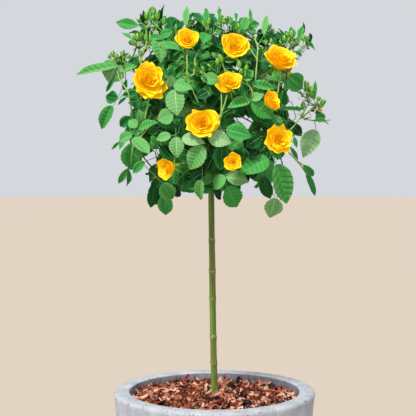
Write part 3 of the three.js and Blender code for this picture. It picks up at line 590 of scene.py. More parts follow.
def new_shoot(start, corners, length, key, tip, mass, fine):
    return dict(start=start, corners=corners, length=length, key=key, tip=tip, mass=mass, fine=fine,
                needed=0)


def grow_mass(index, tips):
    """The stem and shoots of a mass, by the same rule as its solid."""
    heart = UNION + WAYS[index] * (reach_from_union(WAYS[index]) * SHOOT["heart"])
    bough = bough_corners(WAYS[index])
    start_way = bezier_way(bough, 1)
    foot = bough[3] + start_way * GAP
    third = length_of(heart - foot) / 3
    stem = (foot, foot + start_way * third, heart - WAYS[index] * third, heart)
    wood = wood_places(curve(stem, 3))
    own = [tip for tip in tips if tip["mass"] == index]
    own.sort(key=lambda tip: length_of(tip["at"] - heart))
    shoots = []
    for key, tip in enumerate(own):
        plan = tip.get("plan")
        end = plan["base"] if plan else tip["at"]
        end_way = plan["rib_way"] if plan else tip["way"]
        start = best_start(wood, end)
        corners, length = shoot_corners(start, end, end_way)
        steps = int(clamp(math.ceil(length / SHOOT["step"]), 1, SHOOT["most_steps"]))
        points = curve(corners, steps + 1)
        if plan:
            points = np.vstack([points, plan["end"]])
        if all(room_in_space(point, index) >= SHOOT["room"] for point in points):
            shoots.append(new_shoot(start, corners, length, key, tip, index, False))
            wood += wood_places(points, shoots[-1])
    return stem, shoots, wood


def fine_tip(i, tips):
    """The tip of a finer twig, and whether its place is right for a bloom."""
    rise = mix(FINE["top"], FINE["bottom"], (i + 0.5) / FINE["count"])
    bearing = i * SPARE["golden"] + FINE["stray"] * chance(i, 21)
    way = heading(bearing, math.degrees(math.asin(rise)))
    depth = mix(FINE["inner"], FINE["outer"], math.sqrt(chance(i, 22)))
    at = MIDDLE + way * (depth / outline_share(MIDDLE + way))
    bloom = i % FINE["bloom_step"] == FINE["first_bloom"] and at[1] > FINE["blooms_behind"]
    if bloom:
        at = MIDDLE + way * (FINE["bloom_depth"] / outline_share(MIDDLE + way))
        rims = [at + axis * (SPARE["bloom_room"] * side) for axis in (ACROSS, UP) for side in (-1, 1)]
        near = min(length_of(at - other["at"]) for other in tips if other["kind"] == "bloom")
        bloom = near > FINE["blooms_apart"] and not any(in_patch(rim) for rim in rims)
    climb = mix(*FINE["climb"], height_share(at))
    end_way = blend((way, FINE["outwards"]), (unit(at - UNION), FINE["away"]), (UP, climb))
    kind = "bloom" if bloom else "leaf"
    high = at[2] > FINE["buds_above"] and depth > FINE["buds_outside"]
    if high and i % FINE["bud_step"] == FINE["first_bud"]:
        kind = "buds"
    size = BUD["length"] * FINE["bud_size"]
    if bloom:
        size = mix(SPARE["least_bloom"], SPARE["most_bloom"], chance(i, 23))
    opened = mix(*FINE["opened"], chance(i, 24))
    return dict(kind=kind, at=at, size=size, way=end_way, side_buds=1, opened=opened), bloom


def fine_shoots(wood, tips):
    """Finer twigs that fill the crown between the shoots, each from the wood that lies best for it."""
    shoots = []
    tips = list(tips)
    for i in range(FINE["count"]):
        tip, bloom = fine_tip(i, tips)
        at = tip["at"]
        if at[2] > FINE["ceiling"] or min(length_of(at - other["at"]) for other in tips) < FINE["apart"]:
            continue
        start = best_start(wood, at)
        corners, length = shoot_corners(start, at, tip["way"])
        if length > FINE["longest"] or hides_bloom(curve(corners, FINE["points"])):
            continue
        tips.append(tip)
        shoots.append(new_shoot(start, corners, length, i, tip, FINE["mass"], not bloom))
        wood += wood_places(bezier(corners, FINE["wood"]), shoots[-1])
    return shoots


# The camera's view, in which the front blooms and the front leaflets stay clear
EYE = vector(*CAMERA["place"]) / MILLIMETRE
PITCH = math.atan(CAMERA["drop"] / CAMERA["focus"])


def on_picture(points):
    """Where the camera sees points, in pixels to the right of its picture's middle and below it."""
    offset = np.atleast_2d(points) - EYE
    depth = offset[:, 1] * math.cos(PITCH) - offset[:, 2] * math.sin(PITCH)
    height = offset[:, 2] * math.cos(PITCH) + offset[:, 1] * math.sin(PITCH)
    return np.stack([offset[:, 0], -height], 1) * (CAMERA["focus"] / depth)[:, None]


def from_picture(u, v, depth):
    """The point that the camera sees at a pixel, where its line of sight comes to a depth."""
    across = (u - CAMERA["picture"] / 2) / CAMERA["focus"]
    down = (v - CAMERA["picture"] / 2) / CAMERA["focus"]
    level, fall = math.cos(PITCH), math.sin(PITCH)
    ray = vector(across, level - down * fall, -fall - down * level)
    return EYE + ray * ((depth - EYE[1]) / ray[1])


def front_point(u, v, share, shift=0):
    """Where the line of sight meets the crown's surface, or where it passes nearest to its middle."""
    depths = np.arange(-CROWN["radius"], 1, FRONT["search_step"])
    shares = [outline_share(from_picture(u, v, depth)) for depth in depths]
    met = [depth for depth, value in zip(depths, shares) if value < share]
    depth = met[0] if met else depths[int(np.argmin(shares))]
    return from_picture(u, v, depth + shift)


HEIGHTS, LEFT_SIDE, RIGHT_SIDE = np.array(SIDES, dtype=float).T


def in_patch(point):
    """Whether a point lies beside the crown or in an open patch of it, as seen from the front."""
    u, v = on_picture(point)[0] + CAMERA["picture"] / 2
    if not HEIGHTS[0] <= v <= HEIGHTS[-1]:
        return True
    if not np.interp(v, HEIGHTS, LEFT_SIDE) <= u <= np.interp(v, HEIGHTS, RIGHT_SIDE):
        return True
    shares = [((u - x) / wide) ** 2 + ((v - y) / high) ** 2 for x, y, wide, high in OPEN_PATCHES]
    return min(shares) < VIEW["patch_share"]


WIDE_PATCHES = np.array([patch for patch in OPEN_PATCHES if min(patch[2:]) >= VIEW["wide_patch"]],
                        dtype=float)


def over_wide_patch(points):
    """Whether any of the points covers one of the wider open patches."""
    offset = (on_picture(points) + CAMERA["picture"] / 2)[:, None] - WIDE_PATCHES[:, :2]
    return bool((((offset / WIDE_PATCHES[:, 2:]) ** 2).sum(2) < 1).any())


BLOOM_PLACES = np.array([at for at, *_ in FRONT_BLOOMS], dtype=float)
BLOOM_SPOTS = on_picture(BLOOM_PLACES)
BLOOM_SIZES = np.array([size for _, size, *_ in FRONT_BLOOMS], dtype=float)


def hides_bloom(points):
    """Whether any of the points hides the heart of a front bloom from the camera."""
    spots = on_picture(points)
    apart = np.sqrt(((spots[:, None] - BLOOM_SPOTS) ** 2).sum(2))
    before = np.atleast_2d(points)[:, 1][:, None] < BLOOM_PLACES[:, 1] + VIEW["bloom_depth"]
    return bool((before & (apart < BLOOM_SIZES * VIEW["bloom_share"])).any())


def crosses(starts, ends, first, second, third):
    """Whether any of the lines from starts to ends passes through any of the triangles."""
    normal = np.cross(second - first, third - first)
    before = ((starts[:, None] - first) * normal).sum(2)
    after = ((ends[:, None] - first) * normal).sum(2)
    share = before / np.where(before == after, 1, before - after)
    meeting = starts[:, None] + (ends - starts)[:, None] * share[..., None]
    inside = before * after < 0
    for here, there in ((first, second), (second, third), (third, first)):
        side = np.cross(there - here, meeting - here)
        inside &= (side * normal).sum(2) >= 0
    return bool(inside.any())


def corners_of(plan):
    return np.array([plan[corner] for corner in ("root", "left", "tip", "right")])


def halves(corners):
    """The two triangles of each leaflet, parted along its rib."""
    pairs = ((0, 0), (1, 2), (2, 3))
    return [np.concatenate([corners[:, left], corners[:, right]]) for left, right in pairs]


class Leaves:
    """All leaflets that have been placed, with the test that keeps a new one clear of them."""

    def __init__(self, blooms, limbs):
        self.plans = []
        self.corners = np.zeros((FIT["most"], 4, 3))
        self.middles = np.zeros((FIT["most"], 3))
        self.blooms = blooms
        self.limbs = limbs
        self.front = []
        low, high = (np.array(corner) / MILLIMETRE for corner in cad_bounds[:2])
        self.low, self.high = low - FIT["past_box"], high + FIT["past_box"]

    def add(self, plan):
        self.corners[len(self.plans)] = corners_of(plan)
        self.middles[len(self.plans)] = plan["middle"]
        self.plans.append(plan)

    def settle_front(self):
        """Keeps what the camera sees of the front leaflets, as ellipses in its picture."""
        self.front = list(self.plans)
        roots = on_picture(np.array([plan["root"] for plan in self.front]))
        tips = on_picture(np.array([plan["tip"] for plan in self.front]))
        lengths = np.sqrt(((tips - roots) ** 2).sum(1))
        self.front_spots = (roots + tips) / 2
        self.front_ways = (tips - roots) / lengths[:, None]
        self.front_sizes = np.stack([lengths / 2, [plan["seen"] / 2 for plan in self.front]], 1)
        self.front_depths = np.array([plan["middle"][1] for plan in self.front])

    def hides_front(self, points):
        """Whether any of the points hides a front leaflet from the camera."""
        if not self.front:
            return False
        offset = on_picture(points)[:, None] - self.front_spots
        far = (offset * self.front_ways).sum(2) / self.front_sizes[:, 0]
        wide = offset[..., 0] * self.front_ways[:, 1] - offset[..., 1] * self.front_ways[:, 0]
        wide = wide / self.front_sizes[:, 1]
        before = points[:, 1][:, None] < self.front_depths + VIEW["leaf_depth"]
        return bool((before & (far ** 2 + wide ** 2 < VIEW["leaf_share"])).any())

    def fits(self, plan, limit, own=False):
        """Whether a leaflet stays in the crown and the box, and clear of blooms, boughs and leaflets."""
        corners = corners_of(plan)
        outer = corners[1:]
        if (outer < self.low).any() or (outer > self.high).any():
            return False
        if not own and plan["middle"][1] > SURFACE["behind"]:
            limit *= surface_share(plan["middle"])
        if max(outline_share(plan["tip"]), outline_share(plan["middle"])) > limit:
            return False
        for at, room in self.blooms:
            if (((outer - at) ** 2).sum(1) < room * room).any():
                return False
        if (((plan["middle"] - self.limbs) ** 2).sum(1) < FIT["limb_room"] ** 2).any():
            return False
        return self.keeps_view(plan, outer, own) and self.keeps_apart(plan, corners)

    def keeps_view(self, plan, outer, own):
        """Whether a leaflet leaves the front blooms, the front leaflets and the open patches in view."""
        seen = np.vstack([outer, plan["middle"]])
        if hides_bloom(seen) or self.hides_front(seen) or in_patch(plan["middle"]):
            return False
        if own:
            return True
        if in_patch(plan["tip"]) or over_wide_patch(seen):
            return False
        on_front = outward(plan["middle"])[1] < FIT["open_front"]
        return not on_front or outline_share(plan["middle"]) <= FIT["open_share"]

    def keeps_apart(self, plan, corners):
        """Whether a leaflet passes through none of those near it."""
        apart = np.sqrt(((self.middles[:len(self.plans)] - plan["middle"]) ** 2).sum(1))
        if (apart < FIT["apart"]).any():
            return False
        near = np.nonzero(apart < plan["length"] * FIT["near_share"] + FIT["near"])[0]
        if not len(near):
            return True
        others = self.corners[near]
        after = np.roll(others, -1, axis=1)
        if crosses(corners, np.roll(corners, -1, axis=0), *halves(others)):
            return False
        return not crosses(others.reshape(-1, 3), after.reshape(-1, 3), *halves(corners[None]))


def place_leaf(leaves, plan, limit, spray, fewest, own=False):
    """Places those leaflets of a leaf that fit, if they are enough, and says if its rib has a use."""
    kept = [leaflet for leaflet in plan["leaflets"] if leaves.fits(leaflet, limit, own)]
    if len(kept) < fewest:
        return False
    for leaflet in kept:
        leaves.add(dict(leaflet, spray=spray))
    return kept[-1] is plan["leaflets"][-1] or len(kept) > 1


def front_leaflets(leaves, twigs, wood):
    """The leaflets that the front view shows whole, each on a thin stalk from the nearest wood."""
    for number, (u, v, tip_u, tip_v, seen, tone) in enumerate(FRONT_LEAFLETS):
        # Leaflets of the darkest tones, painted shade, sit deeper in the crown
        share = FRONT["deep"] if tone < FRONT["painted_shade_tones"] else FRONT["outer"]
        root = front_point(u, v, share, FRONT["root_depth"])
        tip = front_point(tip_u, tip_v, share, FRONT["tip_depth"])
        slant = tip[1] - root[1]
        if abs(slant) > FRONT["most_slant"]:
            tip = from_picture(tip_u, tip_v, root[1] + math.copysign(FRONT["most_slant"], slant))
        way, length = unit(tip - root), length_of(tip - root)
        across = mix(-FRONT["sideways"], FRONT["sideways"], chance(number, 51))
        face = blend((vector(across, -1, 0), 1), (UP, mix(*FRONT["face_up"], chance(number, 52))))
        plan = leaflet_plan(root, way, face, length)
        breadth = seen * FRONT["pixel"] / FRONT["breadth_seen"]
        half = plan["side"] * (breadth / 2)
        edge = (plan["left"] + plan["right"]) / 2
        plan.update(left=edge - half, right=edge + half, seen=seen, tone=tone,
                    spray=(FRONT["mass"], number), wide=breadth / (LEAF["breadth"] * length))
        leaves.add(plan)
        radii = np.linspace(*STALK["leaf"], STALK["points"])
        tube(twigs, clear_stalk(wood, root, way), radii, sides=5, kind=LEAF_STALK)
    leaves.settle_front()


def front_stems(twigs, wood):
    """The bare flower stems that stand out in the front view, each from the wood behind it."""
    for line in FRONT_STEMS:
        top, *middle, foot = [front_point(u, v, FRONT["stems"], FRONT["nearer"]) for u, v in line]
        bend = middle[0] if middle else mix(top, foot, 0.5)
        foot_way = unit(bend - foot)
        start = best_start(wood, foot, foot_way)
        hold(start)
        corners, _ = shoot_corners(start, foot, foot_way, STALK["spring"])
        bent = [mix(end, bend, STALK["straight"]) for end in (foot, top)]
        points = curve((foot, *bent, top), STALK["flower_points"])
        whole = [*curve(corners, STALK["foot_points"], STALK["foot_share"]), *points]
        tube(twigs, whole, np.linspace(*STALK["flower"], len(whole)), sides=7, kind=PALE_TWIG)
        wood += wood_places(points)


def front_buds(twigs, greens, petals, wood):
    """The bud groups that stand out in the front view, each on a stalk of its own."""
    for number, (u, v, top_u, top_v, count) in enumerate(FRONT_BUDS):
        foot = front_point(u, v, FRONT["outer"])
        top = from_picture(top_u, top_v, foot[1])
        way = unit(top - foot)
        size = clamp(length_of(top - foot) / BUD["front_share"], *BUD["front_sizes"])
        tip = dict(size=size, at=top - way * (size / 2), way=way, side_buds=count - 1)
        add_bud_group(greens, petals, twigs, tip, FRONT["bud_keys"] + number)
        radii = np.linspace(*STALK["bud"], STALK["points"])
        tube(twigs, clear_stalk(wood, foot, way), radii, sides=6, kind=PALE_TWIG)


def hanging(way, rise):
    """The way of a leaf's end leaflet, which hangs the more the lower the leaf grows."""
    return blend((way, 1), (UP, SIDE["low_hang"] * (rise - 1)))


def end_leaf(leaves, shoot, ribs):
    """The leaf at a shoot's tip: the solid's own leaf where there is one."""
    tip, keys = shoot["tip"], (shoot["mass"], shoot["key"], END["key"])
    face = blend((outward(tip["at"]), 1), (UP, LEAF["face_up"]))
    if "plan" in tip:
        own = tip["plan"]
        last = own["leaflets"][-1]
        pairs = len(own["leaflets"]) // 2
        plan = leaf_plan(own["base"], own["rib_way"], last["way"], face, last["length"], pairs, keys)
        placed = place_leaf(leaves, plan, END["own_reach"], keys, fewest=1, own=True)
    else:
        rise = height_share(tip["at"])
        size = leaf_length(tip["at"], chance(*keys)) * END["size"]
        pairs = 1 if rise > END["small_above"] else 2
        plan = leaf_plan(tip["at"], tip["way"], hanging(tip["way"], rise), face, size, pairs, keys)
        placed = place_leaf(leaves, plan, END["reach"], keys, fewest=2)
    if placed:
        ribs.append(plan)
        shoot["needed"] = 1


def shoot_wood(twigs, shoot, number):
    """The twig itself, cut back to the last thing that it carries."""
    build = FINE if shoot["fine"] else SHOOT
    rings = max(SHOOT["fewest_rings"], int(shoot["length"] / SHOOT["ring_every"]))
    shares = np.linspace(0, shoot["needed"], rings)
    radii = mix(build["radius"], build["tip"], shares)
    kind = PALE_TWIG if chance(number, 61) < SHOOT["pale_share"] else TWIG
    tube(twigs, bezier(shoot["corners"], shares), radii, build["sides"], kind)


def side_leaf(leaves, shoot, ribs, share, keys):
    """One leaf at a share of a shoot's length, turned in steps until enough of it fits."""
    base = bezier(shoot["corners"], share)[0]
    ways = cross_ways(bezier_way(shoot["corners"], share))
    away, rise = outward(base), height_share(base)
    level = vector(1, 1, mix(1, SIDE["top_level"], rise ** 2))
    face_up = mix(SIDE["face_up"], SIDE["top_level"], rise)
    face = blend((unit(away * level), SIDE["face_away"]), (UP, face_up))
    size = leaf_length(base, chance(*keys))
    pairs = 1 if rise > SIDE["small_above"] or chance(*keys, 9) < SIDE["small_share"] else 2
    size *= (SIDE["small_size"] if pairs == 1 else SIDE["full_size"]) * mix(1, YOUNG["size"], youth(base))
    climb = mix(SIDE["low_rise"], SIDE["high_rise"], rise)
    for attempt in range(SIDE["tries"]):
        turned = SIDE["turn"] * keys[-1] + 360 * chance(*keys[:-1]) + SIDE["try_turn"] * attempt
        out = around(ways, math.radians(turned))
        rib_way = blend((out, SIDE["out"]), (away, SIDE["away"]), (UP, climb))
        plan = leaf_plan(base, rib_way, hanging(rib_way, rise), face, size, pairs, keys)
        if place_leaf(leaves, plan, SIDE["reach"], keys, pairs + 1):
            ribs.append(plan)
            shoot["needed"] = max(shoot["needed"], share)
            return


def side_leaves(leaves, shoot, ribs):
    """Leaves stand round a shoot in steps, turned a fixed angle each time."""
    spacing = SIDE["spacing"] * (FINE["spacing"] if shoot["fine"] else 1)
    spacing *= mix(1, YOUNG["spacing"], youth(shoot["tip"]["at"]))
    number = 0
    while spacing * (number + SIDE["first"]) < shoot["length"]:
        share = 1 - spacing * (number + SIDE["first"]) / shoot["length"]
        side_leaf(leaves, shoot, ribs, share, (shoot["mass"], shoot["key"], number))
        number += 1


# Meshes: points and faces gathered into one joined mesh, each face with its material's number
class Pile:
    def __init__(self):
        self.points, self.faces, self.kinds, self.count = [], [], [], 0

    def add(self, points, faces, kinds):
        self.points.append(np.asarray(points, dtype=float).reshape(-1, 3))
        self.faces += (np.asarray(faces) + self.count).tolist()
        self.kinds += [kinds] * len(faces) if isinstance(kinds, int) else list(kinds)
        self.count += len(self.points[-1])


def grid_faces(rows, columns, closed=False):
    """The faces between rows of points, each row with the given number of columns."""
    across = np.arange(columns if closed else columns - 1)
    rows_from = np.arange(rows - 1)[:, None] * columns
    here, there = rows_from + across, rows_from + (across + 1) % columns
    return np.stack([here, there, there + columns, here + columns], -1).reshape(-1, 4)


def linear(*colour):
    """A colour of values from 0 to 255 as linear light, by the curve that screens use."""
    light = []
    for value in colour:
        shown = value / 255
        bent = ((shown + SCREEN["offset"]) / (1 + SCREEN["offset"])) ** SCREEN["power"]
        light.append(shown / SCREEN["slope"] if shown <= SCREEN["knee"] else bent)
    return light


def plain(name, colour, roughness, specular=0.5, painted_glow=0):
    material = bpy.data.materials.new(name)
    material.use_nodes = True
    shader = material.node_tree.nodes["Principled BSDF"]
    shader.inputs["Base Color"].default_value = (*linear(*colour), 1)
    shader.inputs["Roughness"].default_value = roughness
    shader.inputs["Specular IOR Level"].default_value = specular
    # The glow is painted light: the surface gives off light in its own colour, which lifts its shade
    shader.inputs["Emission Color"].default_value = (*linear(*colour), 1)
    shader.inputs["Emission Strength"].default_value = painted_glow
    return material


def plains(colours, look):
    """A plain material for each named colour, in the order of the numbers that faces name them by."""
    return [plain(name, colour, *LOOKS[look]) for name, colour in colours.items()]


def numbered(stem, colours):
    return {f"{stem}_{number}": colour for number, colour in enumerate(colours)}


def add_object(name, data):
    thing = bpy.data.objects.new(name, data)
    bpy.context.scene.collection.objects.link(thing)
    return thing


def piece(name, pile, materials, stands_for=()):
    mesh = bpy.data.meshes.new(name)
    mesh.from_pydata((np.vstack(pile.points) * MILLIMETRE).tolist(), [], pile.faces)
    for material in materials:
        mesh.materials.append(material)
    mesh.polygons.foreach_set("material_index", pile.kinds)
    mesh.shade_smooth()
    obj = add_object(name, mesh)
    if stands_for:
        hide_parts(*stands_for)
    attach(obj, "root")
    return obj


def turns(sides):
    return np.linspace(0, 2 * math.pi, sides, endpoint=False)


def tube(pile, points, radii, sides, kind):
    """A round limb along points, closed at its far end."""
    points = np.asarray(points)
    ways = np.gradient(points, axis=0)
    ways /= np.sqrt((ways ** 2).sum(1))[:, None]
    side = unit(np.cross(ways[0], UP if abs(ways[0][2]) < NEARLY_UPRIGHT else ACROSS))
    angles = turns(sides)
    rings = []
    for point, way, radius in zip(points, ways, radii):
        side = unit(side - way * (side @ way))
        other = np.cross(way, side)
        rings.append(point + radius * (np.cos(angles)[:, None] * side + np.sin(angles)[:, None] * other))
    pile.add(np.vstack(rings), grid_faces(len(points), sides, closed=True), kind)
    pile.add([*rings[-1], points[-1]], [[i, (i + 1) % sides, sides] for i in range(sides)], kind)


# A leaflet's own shape: toothed edge, folded middle, and a surface that bulges between sunk veins.
# Three rows of points go to each vein: on it, at its tooth, and between it and the next
VEINS = 7
PER_VEIN = (0, 0.17, 0.58)
ALONG = np.array([(vein + part) / VEINS for vein in range(VEINS) for part in PER_VEIN] + [1.0])
ROWS = len(ALONG)
HALFWAY = 0.55
COLUMNS = np.array([-1, -HALFWAY, -0.045, 0.045, HALFWAY, 1])
BLADE = dict(foot=0.012, reach=0.973, widest=0.378, foot_power=0.49, tip_power=1.07,
             teeth=(1.0, 1.03, 0.965), tooth_reach=0.012, swept=(0.2, 0.17), sweep_power=0.7, fold=3.3,
             flatter=0.45, bulge=(0, -0.004, 0.055), bulge_power=0.6, edge_bulge=0.3, rib_bulge=0.2,
             waves=9, wave_lag=2, wave=0.02)
CURLS_AND_WAVES = ((0.1, 0.6), (0.2, 1), (0.04, -0.8), (0.28, 0.4))


def leaflet_shape(curl, wave):
    """The points of a leaflet of length 1, as sideways, forwards and up."""
    along = (BLADE["foot"] + BLADE["reach"] * ALONG)[:, None]
    half = LEAF["breadth"] / 2 / BLADE["widest"]
    width = half * along ** BLADE["foot_power"] * (1 - along) ** BLADE["tip_power"]
    place = (np.arange(ROWS) % len(PER_VEIN))[:, None]
    aside = np.abs(COLUMNS)[None]
    edge = aside == 1
    across = COLUMNS[None] * width * np.where(edge, np.array(BLADE["teeth"])[place], 1)
    swept, less_swept = BLADE["swept"]
    forward = along + aside * (swept - less_swept * along) * np.sin(math.pi * along) ** BLADE["sweep_power"]
    forward = forward + np.where(edge & (place == 1), BLADE["tooth_reach"], 0)
    lift = LEAF["fold"] * BLADE["fold"] * np.abs(across) * (1 - BLADE["flatter"] * aside)
    bulge = np.array(BLADE["bulge"])[place] * np.sin(math.pi * along) ** BLADE["bulge_power"]
    lesser = np.where(edge, BLADE["edge_bulge"], BLADE["rib_bulge"])
    lift = lift + bulge * np.where(aside == HALFWAY, 1, lesser)
    phase = along * BLADE["waves"] + COLUMNS[None] * BLADE["wave_lag"]
    waves = wave * np.sin(phase) * aside * BLADE["wave"]
    return np.stack([across, forward, lift - curl * along ** 2 + waves], -1).reshape(-1, 3)


SHAPES = [leaflet_shape(curl, wave) for curl, wave in CURLS_AND_WAVES]
LEAFLET_FACES = grid_faces(ROWS, len(COLUMNS))
CELLS = len(COLUMNS) - 1
CELL_ROW, CELL_COLUMN = np.divmod(np.arange(len(LEAFLET_FACES)), CELLS)
ON_RIB = CELL_COLUMN == CELLS // 2
ON_VEIN = CELL_ROW % len(PER_VEIN) == 0
ON_MARGIN = np.isin(CELL_COLUMN, (0, CELLS - 1))

# Leaf colours from deep to pale green, then vein colours, and the colours of the veins and the rib that go
# with each leaf colour. The tones stand partly for the leaves' own greens and partly for painted light and
# shade: deep green paints shade inside the crown, pale green paints leaves in the sun. They are dealt by
# spray, from its share of painted light, which grows with height
LEAF_COLOURS = [(2, 50, 16), (12, 86, 32), (42, 130, 52), (62, 148, 62), (92, 162, 82), (112, 166, 98),
                (134, 175, 118)]
VEIN_COLOURS = [(32, 100, 46), (66, 146, 74), (48, 126, 52), (76, 148, 70), (94, 152, 86), (114, 163, 106),
                (158, 198, 146)]
VEIN_OF = [7, 7, 8, 9, 10, 11, 12]
RIB_OF = [8, 9, 5, 11, 12, 13, 13]
TONES = [0, 1, 2, 2, 3, 3, 4, 5, 6]
YOUNG_TONES = [0, 1, 1, 2, 2, 3]
PAINTED_LIGHT = dict(spray=0.6, height=0.3, own=0.2, most=1.1, painted_lit_margins=0.6)
PLACE_KEYS = dict(shift=500, scale=7, wrap=97)


def pick(share, count):
    """A whole number from 0 and below the count, for a share from 0 to 1."""
    return min(int(share * count), count - 1)


def add_leaflet(pile, plan):
    rise, spray = height_share(plan["root"]), plan["spray"]
    places = plan["root"] + PLACE_KEYS["shift"]
    keys = [int(value * PLACE_KEYS["scale"]) % PLACE_KEYS["wrap"] for value in places]
    shape = SHAPES[pick(chance(*keys), len(SHAPES))] * (plan.get("wide", 1), 1, 1)
    points = plan["root"] + (shape * plan["length"]) @ np.array([plan["side"], plan["way"], plan["normal"]])
    # The leaflet's share of painted light: partly at random by spray and by leaflet, and more the higher it
    # grows, so that higher leaves are painted paler
    light = PAINTED_LIGHT["spray"] * chance(*spray, 3) + PAINTED_LIGHT["height"] * rise + PAINTED_LIGHT["own"] * chance(*keys, 5)
    light, tones = light / PAINTED_LIGHT["most"], TONES
    if chance(*spray, 8) < YOUNG["share"] * youth(plan["root"]):
        light, tones = chance(*spray, 3), YOUNG_TONES
    tone = plan.get("tone", tones[pick(light, len(tones))])
    # On some leaflets the margin faces take the next paler tone, a painted highlight that models the
    # leaflet's surface
    margin = min(tone + 1, len(LEAF_COLOURS) - 1) if chance(*keys, 6) < PAINTED_LIGHT["painted_lit_margins"] else tone
    kinds = np.where(ON_MARGIN, margin, tone)
    kinds = np.where(ON_RIB, RIB_OF[tone], np.where(ON_VEIN, VEIN_OF[tone], kinds))
    pile.add(points, LEAFLET_FACES, kinds.tolist())


# Blooms: petals in a spiral, from a rolled heart to spread outer petals, on a green cup.
# Pairs run from the heart to the outermost layer, and sizes are shares of the bloom
# Petal colours from deep orange to pale yellow. The deeper orange towards the heart and each petal's foot
# is partly the rose's own tone and partly painted shade, and the palest colour, used only on the rims, is a
# painted highlight
PETAL_COLOURS = [(230, 166, 6), (231, 174, 7), (232, 182, 9), (236, 202, 16)]
PETALS = [(0.0, 3), (0.14, 3), (0.28, 3), (0.42, 4), (0.56, 4), (0.72, 5), (0.86, 5), (1.0, 6)]
LEAN = dict(steps=25, foot=(12, 82), foot_power=0.8, top=(-16, 40), top_power=0.7, uneven=10, closed=10,
            rim=(8, 66), rim_from=0.8, rim_share=0.2, rim_layer=0.7, rim_power=1.3)
PETAL = dict(rows=11, columns=11, row_power=0.8, length=(0.42, 0.6), uneven_length=0.06, axis=0.02,
             foot=0.3, narrowest=(0.03, 0.05), corner=0.24, corner_power=3.4, shorter=0.05,
             breadth=(0.15, 0.38), foot_phase=0.1, phase=0.62, breadth_power=0.7, hold=(1.0, 1.04),
             tightest=0.05, most_turn=2.2, overlap=0.02, overlap_most=1.1, hollow=0.03, droop=0.02,
             ruffle=3.1, ruffle_key=1.7, wavy=(0.012, 0.026))
RIM = dict(uneven=0.035, waves=(3, 6))
RAGGED = dict(above=0.8, full=0.15, uneven=0.05, waves=3, hold=0.2, ruffle=2.4, wavy=0.012)
BLOOM = dict(breadth=0.47, keys=50, spiral=1.9, stray=0.28, tight=0.66, loose=0.12, least_loose=0.25,
             spread=(-0.18, 0.2), spread_from=0.5, barely_open=0.6, fallen=2, fallen_spread=0.45,
             uneven=0.2, tone=0.4, layer_tone=2.0, stray_tone=0.7, row_tone=0.08, top_tone=2.99,
             painted_highlight_rows=2, foot=0.31, cup=0.08, sepals=5, sepal_stray=0.1, sepal_climb=0.7,
             sepal_length=0.34, sepal_breadth=0.11, sepal_curl=0.35)
CUP_OUTLINE = [(-1, 0.4), (-0.4, 1), (0.5, 0.8)]
NARROW = dict(rows=6, foot_phase=0.14, phase=0.85, hollow=0.35)


def petal_profile(layer, size, opened, jitter):
    """How a petal's middle line rises and spreads from the heart's foot to its curled rim."""
    shares = np.linspace(0, 1, LEAN["steps"])
    foot_lean = mix(*LEAN["foot"], layer ** LEAN["foot_power"]) * opened
    top_lean = (mix(*LEAN["top"], layer) + LEAN["uneven"] * jitter) * opened - LEAN["closed"] * (1 - opened)
    rim = np.clip((shares - LEAN["rim_from"]) / LEAN["rim_share"], 0, 1) ** LEAN["rim_power"]
    curl = mix(*LEAN["rim"], layer ** LEAN["rim_layer"]) * rim
    lean = np.radians(mix(foot_lean, top_lean, shares ** LEAN["top_power"]) + curl)
    length = size * mix(*PETAL["length"], layer) * (1 + PETAL["uneven_length"] * jitter)
    step = length / (len(shares) - 1)
    radius = size * PETAL["axis"] + np.concatenate([[0], np.cumsum(np.sin(lean[1:]) * step)])
    height = -size * PETAL["foot"] + np.concatenate([[0], np.cumsum(np.cos(lean[1:]) * step)])
    return shares, np.maximum(radius, size * mix(*PETAL["narrowest"], layer)), height


def petal_points(layer, angle, size, opened, key):
    """A petal of one layer, bent round the bloom's axis, with a rim that is uneven and ruffled."""
    rows = np.linspace(0, 1, PETAL["rows"])[:, None] ** PETAL["row_power"]
    columns = np.linspace(-1, 1, PETAL["columns"])[None]
    shares, radii, heights = petal_profile(layer, size, opened, chance(key, 1) - 0.5)
    ragged = clamp((opened - RAGGED["above"]) / RAGGED["full"], 0, 1)
    few, many = RIM["waves"]
    waves = mix(few, many + RAGGED["waves"] * ragged, chance(key, 8))
    uneven = layer * (RIM["uneven"] + RAGGED["uneven"] * ragged) * np.sin(columns * waves + key)
    corners = PETAL["corner"] * np.abs(columns) ** PETAL["corner_power"]
    reached = rows * (1 - corners + uneven * rows ** 2 - PETAL["shorter"] * layer)
    radius = np.interp(reached, shares, radii)
    height = np.interp(reached, shares, heights)
    swell = np.sin(math.pi * (PETAL["foot_phase"] + PETAL["phase"] * reached)) ** PETAL["breadth_power"]
    breadth = size * mix(*PETAL["breadth"], layer) * swell
    held, open_held = PETAL["hold"]
    bend = radius * mix(held, open_held + RAGGED["hold"] * ragged, layer)
    bend = np.maximum(bend, size * PETAL["tightest"])
    turn = np.clip(columns * breadth / bend, -PETAL["most_turn"], PETAL["most_turn"])
    overlap = size * PETAL["overlap"] * columns * (PETAL["overlap_most"] - layer)
    out = radius - bend * (1 - np.cos(turn)) + overlap
    sideways = bend * np.sin(turn)
    ruffle = np.sin(columns * (PETAL["ruffle"] + RAGGED["ruffle"] * ragged) + key * PETAL["ruffle_key"])
    ruffle = ruffle * reached ** 3
    least_wavy, layer_wavy = PETAL["wavy"]
    wavy = least_wavy + layer_wavy * layer + RAGGED["wavy"] * ragged
    out = out + size * (PETAL["hollow"] * layer * columns ** 2 * reached ** 2 + wavy * ruffle)
    lift = height - size * PETAL["droop"] * layer * columns ** 2 * reached + size * wavy * ruffle
    x = out * math.cos(angle) - sideways * math.sin(angle)
    y = out * math.sin(angle) + sideways * math.cos(angle)
    return np.stack([x, y, lift], -1).reshape(-1, 3)


